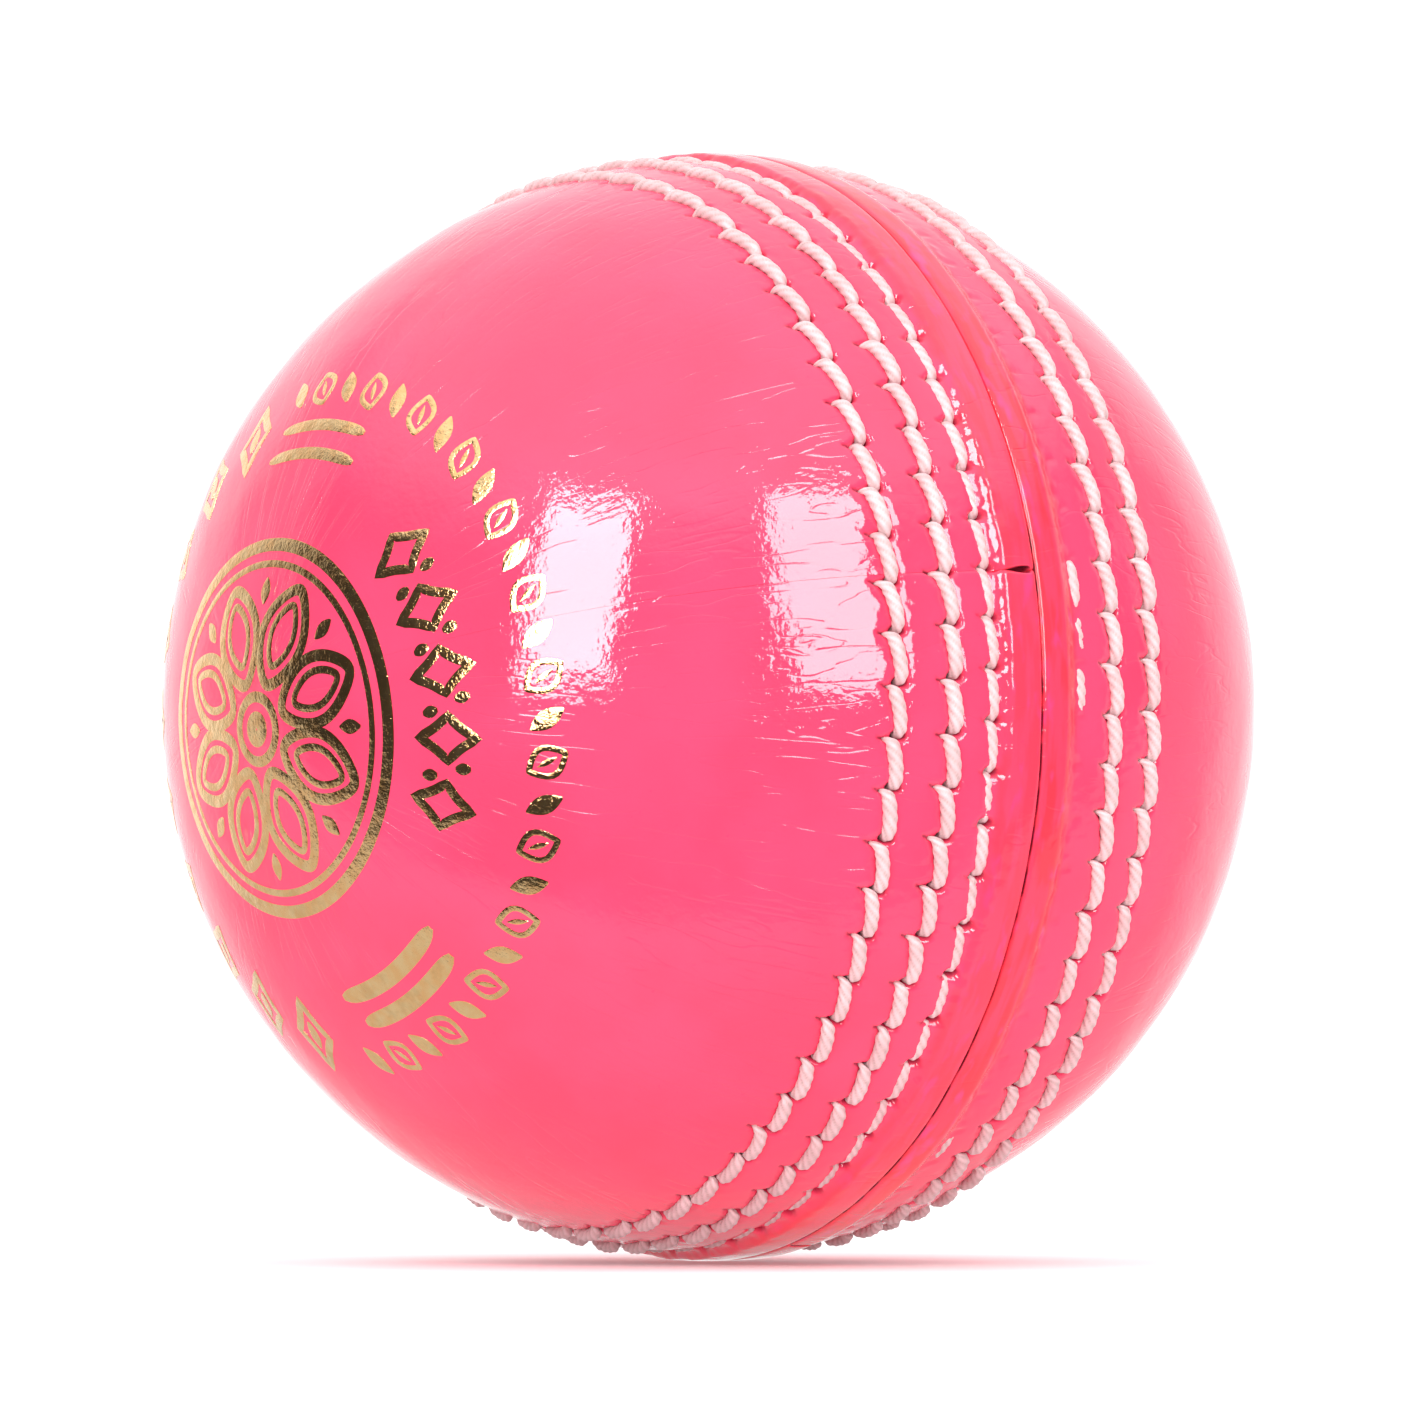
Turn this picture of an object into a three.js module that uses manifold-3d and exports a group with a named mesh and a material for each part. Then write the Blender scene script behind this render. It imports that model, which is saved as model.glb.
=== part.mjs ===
// A four-piece cricket ball, in millimetres, with +Z up and the origin at its centre.
//
// The cover is two leather cups that meet in the YZ plane. Their poles lie on the X axis, and the
// stamped cup is the one towards -X. Each cup is two quarters, butted along a meridian and sewn
// together from the inside. Six rows of thread run round the cover beside the join. Under the
// cover lie two thin linings, then layers of wound yarn and of cork in half-shells, and a core.
//
// A direction on the ball is a latitude, measured from the join towards +X, and a longitude,
// measured round the X axis from -Y (0 degrees) through +Z (90 degrees).

import * as THREE from "three";
import { mergeVertices } from "three/addons/utils/BufferGeometryUtils.js";
import Module from "manifold-3d";

const wasm = await Module();
wasm.setup();

// Cover
const BALL_RADIUS = 36;
const LEATHER_THICKNESS = 4.2;
const JOIN_GAP = 0.1;
const LIP_HEIGHT = 0.5;
const LIP_CROWN_ARC = 1.1;
const LIP_EDGE_ARC = 2.3;
const LIP_EDGE_HEIGHT = 0.4;
const LIP_FOOT_DROP = 0.15;
const QUARTER_SEAM_LONGITUDE = { stamped: 13, plain: 104 };

// Rows of stitches: arc lengths are measured along the cover from the join
const ROW_ARCS = { inner: 3.5, middle: 6.5, outer: 10.4 };
const STITCHES_PER_ROW = 66;
const ROW_PHASES = { inner: 0.15, middle: 0.45, outer: 0 };
const THREAD_HALF_WIDTH = 0.5;
const STITCH_SLANT = 0.2;
const STITCH_START_SHARE = 0.34;
const STITCH_END_SHARE = -0.28;
const STITCH_DIP_SHARE = -0.47;
const STITCH_CREST_RADIUS = BALL_RADIUS;
const STITCH_DIP_RADIUS = BALL_RADIUS - 0.8;
const THREAD_CLEARANCE = 0.15;
const CHANNEL_DRAFT = 0.1;

// Sewing that joins the two quarters of a cup, hidden in a channel on the inner face
const HIDDEN_CHANNEL_DEPTH = 1.4;
const HIDDEN_CHANNEL_HALF_WIDTH = 0.75;
const HIDDEN_CHANNEL_CUTTER_OVERLAP = 1;
const HIDDEN_THREAD_HALF_WIDTH = 0.35;
const HIDDEN_THREAD_RISE = 0.5;
const HIDDEN_THREAD_SWING = 0.25;
const HIDDEN_THREAD_WAVE = 0.15;
const HIDDEN_STITCHES = 30;
const HIDDEN_THREAD_END_LATITUDE = 4;

// Inside the cover
const LINING_THICKNESS = 0.7;
const LINING_CLEARANCE = 0.3;
const CORE_RADIUS = 14;
const LAYER_PAIRS = 5;
const LAYER_GAP = 0.15;
const SPLIT_GAP = 0.06;
const CORK_SHARE = 0.53;
const YARN_OPENING_RADIUS = 1;

// Facets
const COVER_LONGITUDE_STEPS = 15;
const COVER_LATITUDE_STEP = 12;
const INNER_LATITUDE_STEP = 15;
const LAYER_LONGITUDE_STEPS = 12;
const LAYER_LATITUDE_STEPS = 3;
const CHANNEL_RING_STEPS = 36;
const WELD_DISTANCE = 1e-5;

// Worked out from the dimensions above
const COVER_INNER_RADIUS = BALL_RADIUS - LEATHER_THICKNESS;
const LINING_OUTER_RADIUS = COVER_INNER_RADIUS - LINING_CLEARANCE;
const LINING_INNER_RADIUS = LINING_OUTER_RADIUS - LINING_THICKNESS;
const PAIR_THICKNESS = (LINING_INNER_RADIUS - CORE_RADIUS - LAYER_GAP) / LAYER_PAIRS;
const CORK_THICKNESS = PAIR_THICKNESS * CORK_SHARE - LAYER_GAP;
const YARN_THICKNESS = PAIR_THICKNESS * (1 - CORK_SHARE) - LAYER_GAP;
const CHANNEL_HALF_WIDTH = THREAD_HALF_WIDTH + STITCH_SLANT + THREAD_CLEARANCE;
const CHANNEL_FLOOR_RADIUS = STITCH_DIP_RADIUS - THREAD_HALF_WIDTH - THREAD_CLEARANCE;
const CUP_SIDES = { stamped: -1, plain: 1 };

const radians = THREE.MathUtils.degToRad;

const MATERIALS = {
  leather: { color: 0xf0406a, roughness: 0.25, metalness: 0 },
  thread: { color: 0xe8dcc4, roughness: 0.8, metalness: 0 },
  lining: { color: 0xc9a27c, roughness: 0.9, metalness: 0 },
  yarn: { color: 0xd9d0bd, roughness: 0.95, metalness: 0 },
  cork: { color: 0xb98a5a, roughness: 0.9, metalness: 0 },
  core: { color: 0x8a5a38, roughness: 0.85, metalness: 0 },
};

// ---------------------------------------------------------------- directions

/** Unit vector at a latitude and longitude. */
function direction(latitude, longitude) {
  const [lat, lon] = [radians(latitude), radians(longitude)];
  return new THREE.Vector3(Math.sin(lat), -Math.cos(lat) * Math.cos(lon), Math.cos(lat) * Math.sin(lon));
}

// ---------------------------------------------------------------- closed bodies

/** Signed volume of an indexed body, which is positive when its faces point out. */
function signedVolume(positions, triangles) {
  const [a, b, c] = [new THREE.Vector3(), new THREE.Vector3(), new THREE.Vector3()];
  let volume = 0;
  for (let corner = 0; corner < triangles.length; corner += 3) {
    a.fromArray(positions, triangles[corner] * 3);
    b.fromArray(positions, triangles[corner + 1] * 3);
    c.fromArray(positions, triangles[corner + 2] * 3);
    volume += a.dot(b.cross(c)) / 6;
  }
  return volume;
}

/** Keeps only position and index, with shared corners merged and no empty triangles. */
function weld(geometry) {
  geometry.deleteAttribute("normal");
  geometry.deleteAttribute("uv");
  const merged = mergeVertices(geometry, WELD_DISTANCE);
  const index = merged.getIndex().array;
  const kept = [];
  for (let corner = 0; corner < index.length; corner += 3) {
    const [a, b, c] = index.slice(corner, corner + 3);
    if (a !== b && b !== c && c !== a) kept.push(a, b, c);
  }
  if (signedVolume(merged.getAttribute("position").array, kept) < 0) kept.reverse();
  merged.setIndex(kept);
  return merged;
}

/** Joins equal rings of points into a body: an endless loop, or a run closed by two end caps. */
function skinRings(rings, section, isLoop) {
  const size = section.length;
  const index = [];
  const spans = isLoop ? rings.length : rings.length - 1;
  for (let ring = 0; ring < spans; ring += 1) {
    const here = ring * size;
    const next = ((ring + 1) % rings.length) * size;
    for (let side = 0; side < size; side += 1) {
      const beside = (side + 1) % size;
      index.push(here + side, here + beside, next + beside);
      index.push(here + side, next + beside, next + side);
    }
  }
  if (!isLoop) {
    const last = (rings.length - 1) * size;
    for (const [a, b, c] of THREE.ShapeUtils.triangulateShape(section, [])) {
      index.push(a, c, b);
      index.push(last + a, last + b, last + c);
    }
  }
  const geometry = new THREE.BufferGeometry().setFromPoints(rings.flat());
  geometry.setIndex(index);
  return weld(geometry);
}

/** Outline points run anticlockwise, which is what the end caps expect. */
function anticlockwise(outline) {
  return THREE.ShapeUtils.isClockWise(outline) ? outline.slice().reverse() : outline;
}

/** Turns an outline of (x, distance from the X axis) points about the X axis. */
function revolve(outline, { start = 0, span = 360, steps }) {
  const section = anticlockwise(outline);
  const isLoop = span === 360;
  const rings = [];
  for (let step = 0; step < (isLoop ? steps : steps + 1); step += 1) {
    const longitude = radians(start + (span * step) / steps);
    const [y, z] = [-Math.cos(longitude), Math.sin(longitude)];
    rings.push(section.map((point) => new THREE.Vector3(point.x, point.y * y, point.y * z)));
  }
  return skinRings(rings, section, isLoop);
}

/** Point of an outline at a latitude (degrees, positive towards +X) and a radius. */
function onMeridian(latitude, radius) {
  const angle = radians(latitude);
  const distance = Math.abs(latitude) === 90 ? 0 : radius * Math.cos(angle);
  return new THREE.Vector2(radius * Math.sin(angle), distance);
}

/** Points of a meridian arc between two latitudes, in equal steps. */
function meridianArc(from, to, steps, radius) {
  return Array.from({ length: steps + 1 }, (_, step) =>
    onMeridian(from + ((to - from) * step) / steps, radius));
}

/** A body for boolean work, made from a welded geometry. */
function toManifold(geometry) {
  return new wasm.Manifold(new wasm.Mesh({
    numProp: 3,
    vertProperties: Float32Array.from(geometry.getAttribute("position").array),
    triVerts: Uint32Array.from(geometry.getIndex().array),
  }));
}

/** The first body with the second one cut away. */
function cutAway(geometry, tool) {
  const mesh = toManifold(geometry).subtract(toManifold(tool)).getMesh();
  const result = new THREE.BufferGeometry();
  result.setAttribute("position", new THREE.BufferAttribute(mesh.vertProperties, 3));
  result.setIndex(Array.from(mesh.triVerts));
  return weld(result);
}

// ---------------------------------------------------------------- leather cover

const arcToLatitude = (arc) => THREE.MathUtils.radToDeg(arc / BALL_RADIUS);

/** Outline of the channel that one row of stitches lies in, from the join side outwards. */
function rowChannel(arc, joinSideRadius) {
  const [near, far] = [arc - CHANNEL_HALF_WIDTH, arc + CHANNEL_HALF_WIDTH];
  return [
    onMeridian(arcToLatitude(near), joinSideRadius),
    onMeridian(arcToLatitude(near + CHANNEL_DRAFT), CHANNEL_FLOOR_RADIUS),
    onMeridian(arcToLatitude(far - CHANNEL_DRAFT), CHANNEL_FLOOR_RADIUS),
    onMeridian(arcToLatitude(far), BALL_RADIUS),
  ];
}

/** Cross-section of a cup from the join to its pole, with the lip and the stitch channels. */
function cupOutline(side) {
  const joinX = JOIN_GAP / 2;
  const lipCrown = onMeridian(arcToLatitude(LIP_CROWN_ARC), BALL_RADIUS + LIP_HEIGHT);
  const lipEdgeRadius = BALL_RADIUS + LIP_EDGE_HEIGHT;
  const lipEdge = onMeridian(arcToLatitude(LIP_EDGE_ARC), lipEdgeRadius);
  const domeStart = arcToLatitude(ROW_ARCS.outer + CHANNEL_HALF_WIDTH);
  const domeSteps = Math.round((90 - domeStart) / COVER_LATITUDE_STEP);
  const dome = meridianArc(domeStart, 90, domeSteps, BALL_RADIUS).slice(1);
  const innerFace = meridianArc(90, 0, 90 / INNER_LATITUDE_STEP, COVER_INNER_RADIUS).slice(0, -1);
  const outline = [
    new THREE.Vector2(joinX, BALL_RADIUS + LIP_EDGE_HEIGHT),
    lipCrown,
    lipEdge,
    ...rowChannel(ROW_ARCS.inner, lipEdgeRadius - LIP_FOOT_DROP),
    ...rowChannel(ROW_ARCS.middle, BALL_RADIUS),
    ...rowChannel(ROW_ARCS.outer, BALL_RADIUS),
    ...dome,
    ...innerFace,
    new THREE.Vector2(joinX, COVER_INNER_RADIUS),
  ];
  return outline.map((point) => new THREE.Vector2(point.x * side, point.y));
}

/** Ring-shaped cutter for the sewing channel, lying in the plane of a quarter seam. */
function hiddenChannel(seamLongitude) {
  const low = COVER_INNER_RADIUS - HIDDEN_CHANNEL_CUTTER_OVERLAP;
  const high = COVER_INNER_RADIUS + HIDDEN_CHANNEL_DEPTH;
  const half = HIDDEN_CHANNEL_HALF_WIDTH;
  const outline = [[-half, low], [half, low], [half, high], [-half, high]]
    .map(([x, distance]) => new THREE.Vector2(x, distance));
  const ring = revolve(outline, { steps: CHANNEL_RING_STEPS });
  const seamNormal = direction(0, seamLongitude + 90);
  const turn = new THREE.Quaternion().setFromUnitVectors(new THREE.Vector3(1, 0, 0), seamNormal);
  return ring.applyQuaternion(turn);
}

/** One quarter of the cover: half of a cup, starting at its quarter seam. */
function leatherQuarter(cup, half) {
  const seam = QUARTER_SEAM_LONGITUDE[cup];
  const start = seam + 180 * half;
  const quarter = revolve(cupOutline(CUP_SIDES[cup]),
    { start, span: 180, steps: COVER_LONGITUDE_STEPS });
  const awayFromSeam = direction(0, start + 90).multiplyScalar(SPLIT_GAP / 2);
  return cutAway(quarter, hiddenChannel(seam)).translate(...awayFromSeam.toArray());
}

// ---------------------------------------------------------------- threads

/** Square thread section round a centre, from its outward and sideways directions. */
function threadSection(centre, outward, sideways, halfWidth) {
  return [[-1, -1], [1, -1], [1, 1], [-1, 1]].map(([across, out]) =>
    centre.clone()
      .addScaledVector(sideways, across * halfWidth)
      .addScaledVector(outward, out * halfWidth));
}

const THREAD_OUTLINE = [[-1, -1], [1, -1], [1, 1], [-1, 1]].map(([x, y]) => new THREE.Vector2(x, y));

/** One endless row of slanted stitches that dips into the leather between one and the next. */
function stitchRow(cup, row) {
  const side = CUP_SIDES[cup];
  const latitude = side * arcToLatitude(ROW_ARCS[row]);
  const pitch = 360 / STITCHES_PER_ROW;
  const marks = [
    { along: STITCH_START_SHARE, across: -STITCH_SLANT, radius: STITCH_CREST_RADIUS },
    { along: STITCH_END_SHARE, across: STITCH_SLANT, radius: STITCH_CREST_RADIUS },
    { along: STITCH_DIP_SHARE, across: 0, radius: STITCH_DIP_RADIUS },
  ];
  const rings = [];
  for (let stitch = 0; stitch < STITCHES_PER_ROW; stitch += 1) {
    for (const mark of marks) {
      const longitude = -pitch * (stitch + ROW_PHASES[row] - mark.along);
      const outward = direction(latitude, longitude);
      const sideways = direction(latitude + 90, longitude);
      const centre = outward.clone().multiplyScalar(mark.radius).addScaledVector(sideways, mark.across);
      rings.push(threadSection(centre, outward, sideways, THREAD_HALF_WIDTH));
    }
  }
  return skinRings(rings, THREAD_OUTLINE, true);
}

/** Sewing of one quarter seam: a thread that zigzags over the pole from join to join. */
function quarterSeamThread(cup) {
  const side = CUP_SIDES[cup];
  const seam = QUARTER_SEAM_LONGITUDE[cup];
  const seamNormal = direction(0, seam + 90);
  const steps = HIDDEN_STITCHES * 2;
  const middleRadius = COVER_INNER_RADIUS + HIDDEN_THREAD_RISE;
  const rings = [];
  for (let step = 0; step <= steps; step += 1) {
    const swing = step % 2 === 0 ? 1 : -1;
    const share = step / steps;
    const arc = THREE.MathUtils.lerp(HIDDEN_THREAD_END_LATITUDE, 180 - HIDDEN_THREAD_END_LATITUDE, share);
    const outward = direction(0, seam).multiplyScalar(Math.cos(radians(arc)))
      .addScaledVector(new THREE.Vector3(side, 0, 0), Math.sin(radians(arc)));
    const centre = outward.clone().multiplyScalar(middleRadius + swing * HIDDEN_THREAD_WAVE)
      .addScaledVector(seamNormal, swing * HIDDEN_THREAD_SWING);
    rings.push(threadSection(centre, outward, seamNormal, HIDDEN_THREAD_HALF_WIDTH));
  }
  return skinRings(rings, THREAD_OUTLINE, false);
}

// ---------------------------------------------------------------- inside the cover

/** Half of a shell split in the plane of the join. */
function cupShell(side, innerRadius, outerRadius) {
  const outline = [
    ...meridianArc(0, 90, LAYER_LATITUDE_STEPS, outerRadius),
    ...meridianArc(90, 0, LAYER_LATITUDE_STEPS, innerRadius),
  ].map((point) => new THREE.Vector2(point.x * side, point.y));
  const shell = revolve(outline, { steps: LAYER_LONGITUDE_STEPS });
  return shell.translate((side * SPLIT_GAP) / 2, 0, 0);
}

/** Half of a shell split in the horizontal plane, so that its join crosses the one outside it. */
function sideShell(side, innerRadius, outerRadius) {
  const outline = [
    ...meridianArc(-90, 90, LAYER_LATITUDE_STEPS * 2, outerRadius),
    ...meridianArc(90, -90, LAYER_LATITUDE_STEPS * 2, innerRadius),
  ];
  const start = side > 0 ? 0 : 180;
  const shell = revolve(outline, { start, span: 180, steps: LAYER_LONGITUDE_STEPS / 2 });
  return shell.translate(0, 0, (side * SPLIT_GAP) / 2);
}

/** A wound shell with a small opening at one pole, where the end of the yarn is tucked in. */
function woundShell(innerRadius, outerRadius) {
  const steps = LAYER_LATITUDE_STEPS * 2;
  const openEnd = (radius) => {
    const arc = meridianArc(90, -90, steps, radius);
    const share = YARN_OPENING_RADIUS / arc[steps - 1].y;
    arc[steps].lerp(arc[steps - 1], share);
    return arc;
  };
  const outline = [...openEnd(outerRadius), ...openEnd(innerRadius).reverse()];
  return revolve(outline, { steps: LAYER_LONGITUDE_STEPS });
}

/** The solid middle of the ball. */
function core() {
  const outline = meridianArc(-90, 90, LAYER_LATITUDE_STEPS * 2, CORE_RADIUS);
  return revolve(outline, { steps: LAYER_LONGITUDE_STEPS });
}

// ---------------------------------------------------------------- assembly

const ball = new THREE.Group();

function addPiece(name, geometry, materialName) {
  geometry.computeVertexNormals();
  const mesh = new THREE.Mesh(geometry, new THREE.MeshStandardMaterial(MATERIALS[materialName]));
  mesh.name = name;
  ball.add(mesh);
}

addPiece("core", core(), "core");

for (let layer = 0; layer < LAYER_PAIRS; layer += 1) {
  const corkInner = CORE_RADIUS + LAYER_GAP + layer * PAIR_THICKNESS;
  const yarnInner = corkInner + CORK_THICKNESS + LAYER_GAP;
  const halfShell = layer % 2 === 0 ? cupShell : sideShell;
  addPiece(`cork_layer_${layer + 1}_half_a`, halfShell(-1, corkInner, corkInner + CORK_THICKNESS), "cork");
  addPiece(`cork_layer_${layer + 1}_half_b`, halfShell(1, corkInner, corkInner + CORK_THICKNESS), "cork");
  addPiece(`yarn_winding_${layer + 1}`, woundShell(yarnInner, yarnInner + YARN_THICKNESS), "yarn");
}

for (const cup of Object.keys(CUP_SIDES)) {
  addPiece(`cup_lining_${cup}`,
    cupShell(CUP_SIDES[cup], LINING_INNER_RADIUS, LINING_OUTER_RADIUS), "lining");
  addPiece(`quarter_seam_thread_${cup}`, quarterSeamThread(cup), "thread");
  for (const half of [0, 1]) {
    addPiece(`leather_quarter_${cup}_${half === 0 ? "a" : "b"}`, leatherQuarter(cup, half), "leather");
  }
  for (const row of Object.keys(ROW_ARCS)) {
    addPiece(`stitch_row_${cup}_${row}`, stitchRow(cup, row), "thread");
  }
}

export default ball;
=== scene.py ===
"""A pink four-piece cricket ball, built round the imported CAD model.

Directions on the ball follow the CAD model. The two leather cups meet in the YZ plane, and their
poles lie on the X axis, with the stamped cup towards -X. A place on the cover is an arc length
from the join (mm, positive towards +X), a longitude about the X axis (radians, from -Y through
+Z) and a height above the plain cover (mm). Lengths are in millimetres until a mesh is made.
"""

import math

import bpy
import numpy as np
from mathutils import Matrix, Vector


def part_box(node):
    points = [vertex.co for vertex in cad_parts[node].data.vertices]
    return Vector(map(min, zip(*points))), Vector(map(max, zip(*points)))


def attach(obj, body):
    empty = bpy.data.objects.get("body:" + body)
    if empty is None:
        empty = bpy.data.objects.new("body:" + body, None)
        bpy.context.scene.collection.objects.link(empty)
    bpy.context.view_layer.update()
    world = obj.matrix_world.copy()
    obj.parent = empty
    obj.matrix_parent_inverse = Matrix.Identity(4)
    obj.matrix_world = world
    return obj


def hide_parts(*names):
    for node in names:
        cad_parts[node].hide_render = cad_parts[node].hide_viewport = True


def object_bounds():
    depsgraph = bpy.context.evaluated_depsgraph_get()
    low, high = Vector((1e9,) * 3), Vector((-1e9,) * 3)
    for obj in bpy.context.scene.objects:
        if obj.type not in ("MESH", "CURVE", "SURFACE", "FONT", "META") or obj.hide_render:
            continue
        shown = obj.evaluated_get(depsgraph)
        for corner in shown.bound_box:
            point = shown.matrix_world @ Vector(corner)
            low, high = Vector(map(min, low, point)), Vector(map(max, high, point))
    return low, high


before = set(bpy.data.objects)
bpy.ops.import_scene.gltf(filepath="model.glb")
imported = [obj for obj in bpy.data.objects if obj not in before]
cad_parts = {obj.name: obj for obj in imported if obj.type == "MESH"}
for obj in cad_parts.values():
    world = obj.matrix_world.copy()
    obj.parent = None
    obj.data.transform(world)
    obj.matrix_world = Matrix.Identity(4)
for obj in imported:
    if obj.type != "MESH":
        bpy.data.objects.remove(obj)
cad_low, cad_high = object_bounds()

MM = 0.001
FULL_TURN = 2 * math.pi

# ---------------------------------------------------------------- sizes taken from the CAD model

CUPS = {"stamped": -1, "plain": 1}
ROWS = ("inner", "middle", "outer")
COVER_RADIUS = -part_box("leather_quarter_stamped_a")[0].x / MM
LINING_RADIUS = -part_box("cup_lining_stamped")[0].x / MM
LINING_CLEARANCE = 0.3
LEATHER_INNER_RADIUS = LINING_RADIUS + LINING_CLEARANCE
LINING_THICKNESS = 0.7
LAYER_GAP = 0.15


def middle_x(node):
    """Middle of a CAD node's box along X, in mm."""
    low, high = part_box(node)
    return (low.x + high.x) / 2 / MM


def row_arc(cup, row):
    """Arc length from the join to a row of stitches, in mm, positive towards +X."""
    return COVER_RADIUS * math.asin(middle_x(f"stitch_row_{cup}_{row}") / COVER_RADIUS)


# ---------------------------------------------------------------- sizes of the visible detail

QUARTER_SEAM_LONGITUDE = {"stamped": math.radians(13), "plain": math.radians(104)}
JOIN_HALF_GAP = 0.05
SEWING_CHANNEL_DEPTH = 1.4
SEWING_CHANNEL_RADIUS = LEATHER_INNER_RADIUS + SEWING_CHANNEL_DEPTH
SEWING_CHANNEL_HALF_WIDTH = 0.75

STITCHES_PER_ROW = 66
THREAD_RADIUS = 0.50
PLIES = 4
PLY_OFFSET = 0.43
PLY_RADIUS = 0.57
TWIST_LENGTH = 3.1
SECTION_POINTS = 24

# One stitch, from the awl hole that it comes out of to the one that it goes into, and back under
# the leather: place along the row (in stitch lengths, upwards on the near side), across it (mm,
# towards +X), height of the thread's middle (mm) and thickness (1 is the full thread).
STITCH_ROUTE = np.array([
    [0.470, -0.68, -0.50, 0.28],
    [0.445, -0.47, -0.12, 0.52],
    [0.345, -0.20, 0.03, 0.98],
    [0.120, 0.03, 0.08, 1.02],
    [-0.140, 0.18, 0.06, 1.02],
    [-0.350, 0.24, -0.08, 0.96],
    [-0.455, 0.20, -0.55, 0.74],
    [-0.475, -0.15, -1.25, 0.50],
])

# Points of the thread from each place of the route to the next, and the place in the second hole
ROUTE_STEPS = (3, 4, 5, 5, 5, 4, 2, 2)
IN_HOLE = 6

# For each row: how deep it lies in the leather (mm), how much less deep at the top of the ball (and
# more at the bottom), how unevenly it lies, how far it sways sideways, how thick it is, and how
# much of each stitch's dent the leather shows
OPEN_ROW = {"sink": 0.0, "swell": 0.0, "uneven": 0.03, "sway": 1.0, "thickness": 0.94, "dent": 1.0}
ROW_STYLES = {
    ("stamped", "outer"): OPEN_ROW,
    ("stamped", "middle"): OPEN_ROW,
    ("stamped", "inner"): {
        "sink": 0.41, "swell": 0.10, "uneven": 0.08, "sway": 0.6, "thickness": 0.93, "dent": 0.5
    },
    ("plain", "inner"): {
        "sink": 0.74, "swell": 0.0, "uneven": 0.19, "sway": 0.4, "thickness": 0.86, "dent": 0.04
    },
    ("plain", "middle"): OPEN_ROW,
    ("plain", "outer"): OPEN_ROW,
}

# One stitch of the buried row stands up beside the quarter seam
PROUD_STITCH_LONGITUDE = math.radians(14)
PROUD_STITCH_RISE = 0.5

# How much one stitch differs from another: drift along the row (stitch lengths), shift across it
# and hook where the thread comes out (mm), slant and girth (shares)
DRIFT_SPREAD = 0.035
SHIFT_SPREAD = 0.035
HOOK_SPREAD = 0.06
SLANT_SPREAD = 0.14
GIRTH_SPREAD = 0.035
HOOK = 0.02

# Painted shade darkens a thread's colour where it dips into its holes, between these depths below
# its row (mm)
SHADOW_STARTS = 0.45
SHADOW_FULL = 0.95

# Marks of one stitch in the leather, as (height or depth, width) in mm: the dent under the thread
# and the rim round it, the pits of the holes that it comes out of and goes into, a thin fold and a
# raised pinch
DENT = (0.30, 0.37)
RIM = (0.012, 0.30)
RIM_REACH = 0.95
OUT_HOLE_PIT = (0.25, 0.16)
IN_HOLE_PIT = (0.95, 0.25)
WHISKER = (0.17, 0.10)
PINCH = (0.13, 0.13)

# How far any mark reaches across the row (mm)
MARK_REACH = 2.2

# The lines that three of them follow, in mm along and across the row from their hole
CRESCENT_LINE = np.array([(-0.12, -0.25), (-0.05, 0.20)])
WHISKER_LINE = np.array([(-0.02, -0.15), (0.10, -0.50)])
PINCH_LINE = np.array([(0.02, 0.46), (0.16, 0.74)])

# The cover, in mm: its unevenness as waves of a height and a size, and the raised lip beside the
# join, which has a crown, a foot at the end of a slope, and a rounded edge
DOME_WAVES = ((0.030, 15.0), (0.009, 4.5), (0.0022, 1.9))
LIP_HEIGHT = 0.5
LIP_CROWN = 0.035
LIP_MIDDLE = 1.5
LIP_FOOT = {"stamped": 2.95, "plain": 3.1}
LIP_SLOPE = {"stamped": 0.65, "plain": 1.3}
EDGE_DROP = 0.15
EDGE_WIDTH = 0.10

# Beside the rows, as (height or depth, width) in mm: banks between rows, troughs along them and
# random puckers. The inner row pulls dimples into the lip, with widths along and across it.
INNER_BANK = (0.035, 0.85)
OUTER_BANK = (0.028, 1.35)
TROUGH = (0.02, 0.9)
LIP_PUCKERS = (0.030, 0.6)
ROW_PUCKERS = (0.026, 1.1)
PUCKER_SIZE = 1.0
DIMPLE_DEPTH = 0.1
DIMPLE_WIDTHS = (0.75, 0.55)
DIMPLE_REACH = 2.5
DIMPLE_FROM_FOOT = 0.62

# The quarter seam: its depth on the dome, more among the rows and most on the lip, its width, and
# how far its edges are pulled apart where it gapes, in mm
SEAM_DEPTHS = (0.0015, 0.03, 0.12)
SEAM_WIDTH = 0.11
SLIT_HALF_WIDTH = 0.19
SLIT_REACH = 0.40

# Painted shade in the leather: depth of a pit whose painted shade is full (mm), the painted shade
# of a fold, and the width of the painted shade along the join (mm)
FULL_PIT_SHADE_DEPTH = 0.75
FOLD_PAINTED_SHADE = 0.8
JOIN_SHADOW = 0.07


# ---------------------------------------------------------------- fields and places

def smoothstep(low, high, value):
    """0 below low, 1 above high, and smooth between."""
    share = np.clip((value - low) / (high - low), 0, 1)
    return share * share * (3 - 2 * share)


def bump(distance, width):
    """A round hill of height 1 at distance 0."""
    return np.exp(-((distance / width) ** 2))


def mark(distance, size):
    """A round hill with the height and width in size."""
    height, width = size
    return height * bump(distance, width)


def around_ring(longitudes, turn):
    """Turns from one longitude to others, the short way round."""
    return np.angle(np.exp(1j * (longitudes - turn)))


def smooth_field(points, wavelength, seed, waves=18):
    """A random smooth field of about unit size, over points in mm."""
    rng = np.random.default_rng(seed)
    total = np.zeros(points.shape[:-1])
    for _ in range(waves):
        heading = rng.normal(size=3)
        heading *= FULL_TURN / wavelength * rng.uniform(0.7, 1.3) / np.linalg.norm(heading)
        total += np.cos(points @ heading + rng.uniform(0, FULL_TURN))
    return total * math.sqrt(2 / waves)


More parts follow.
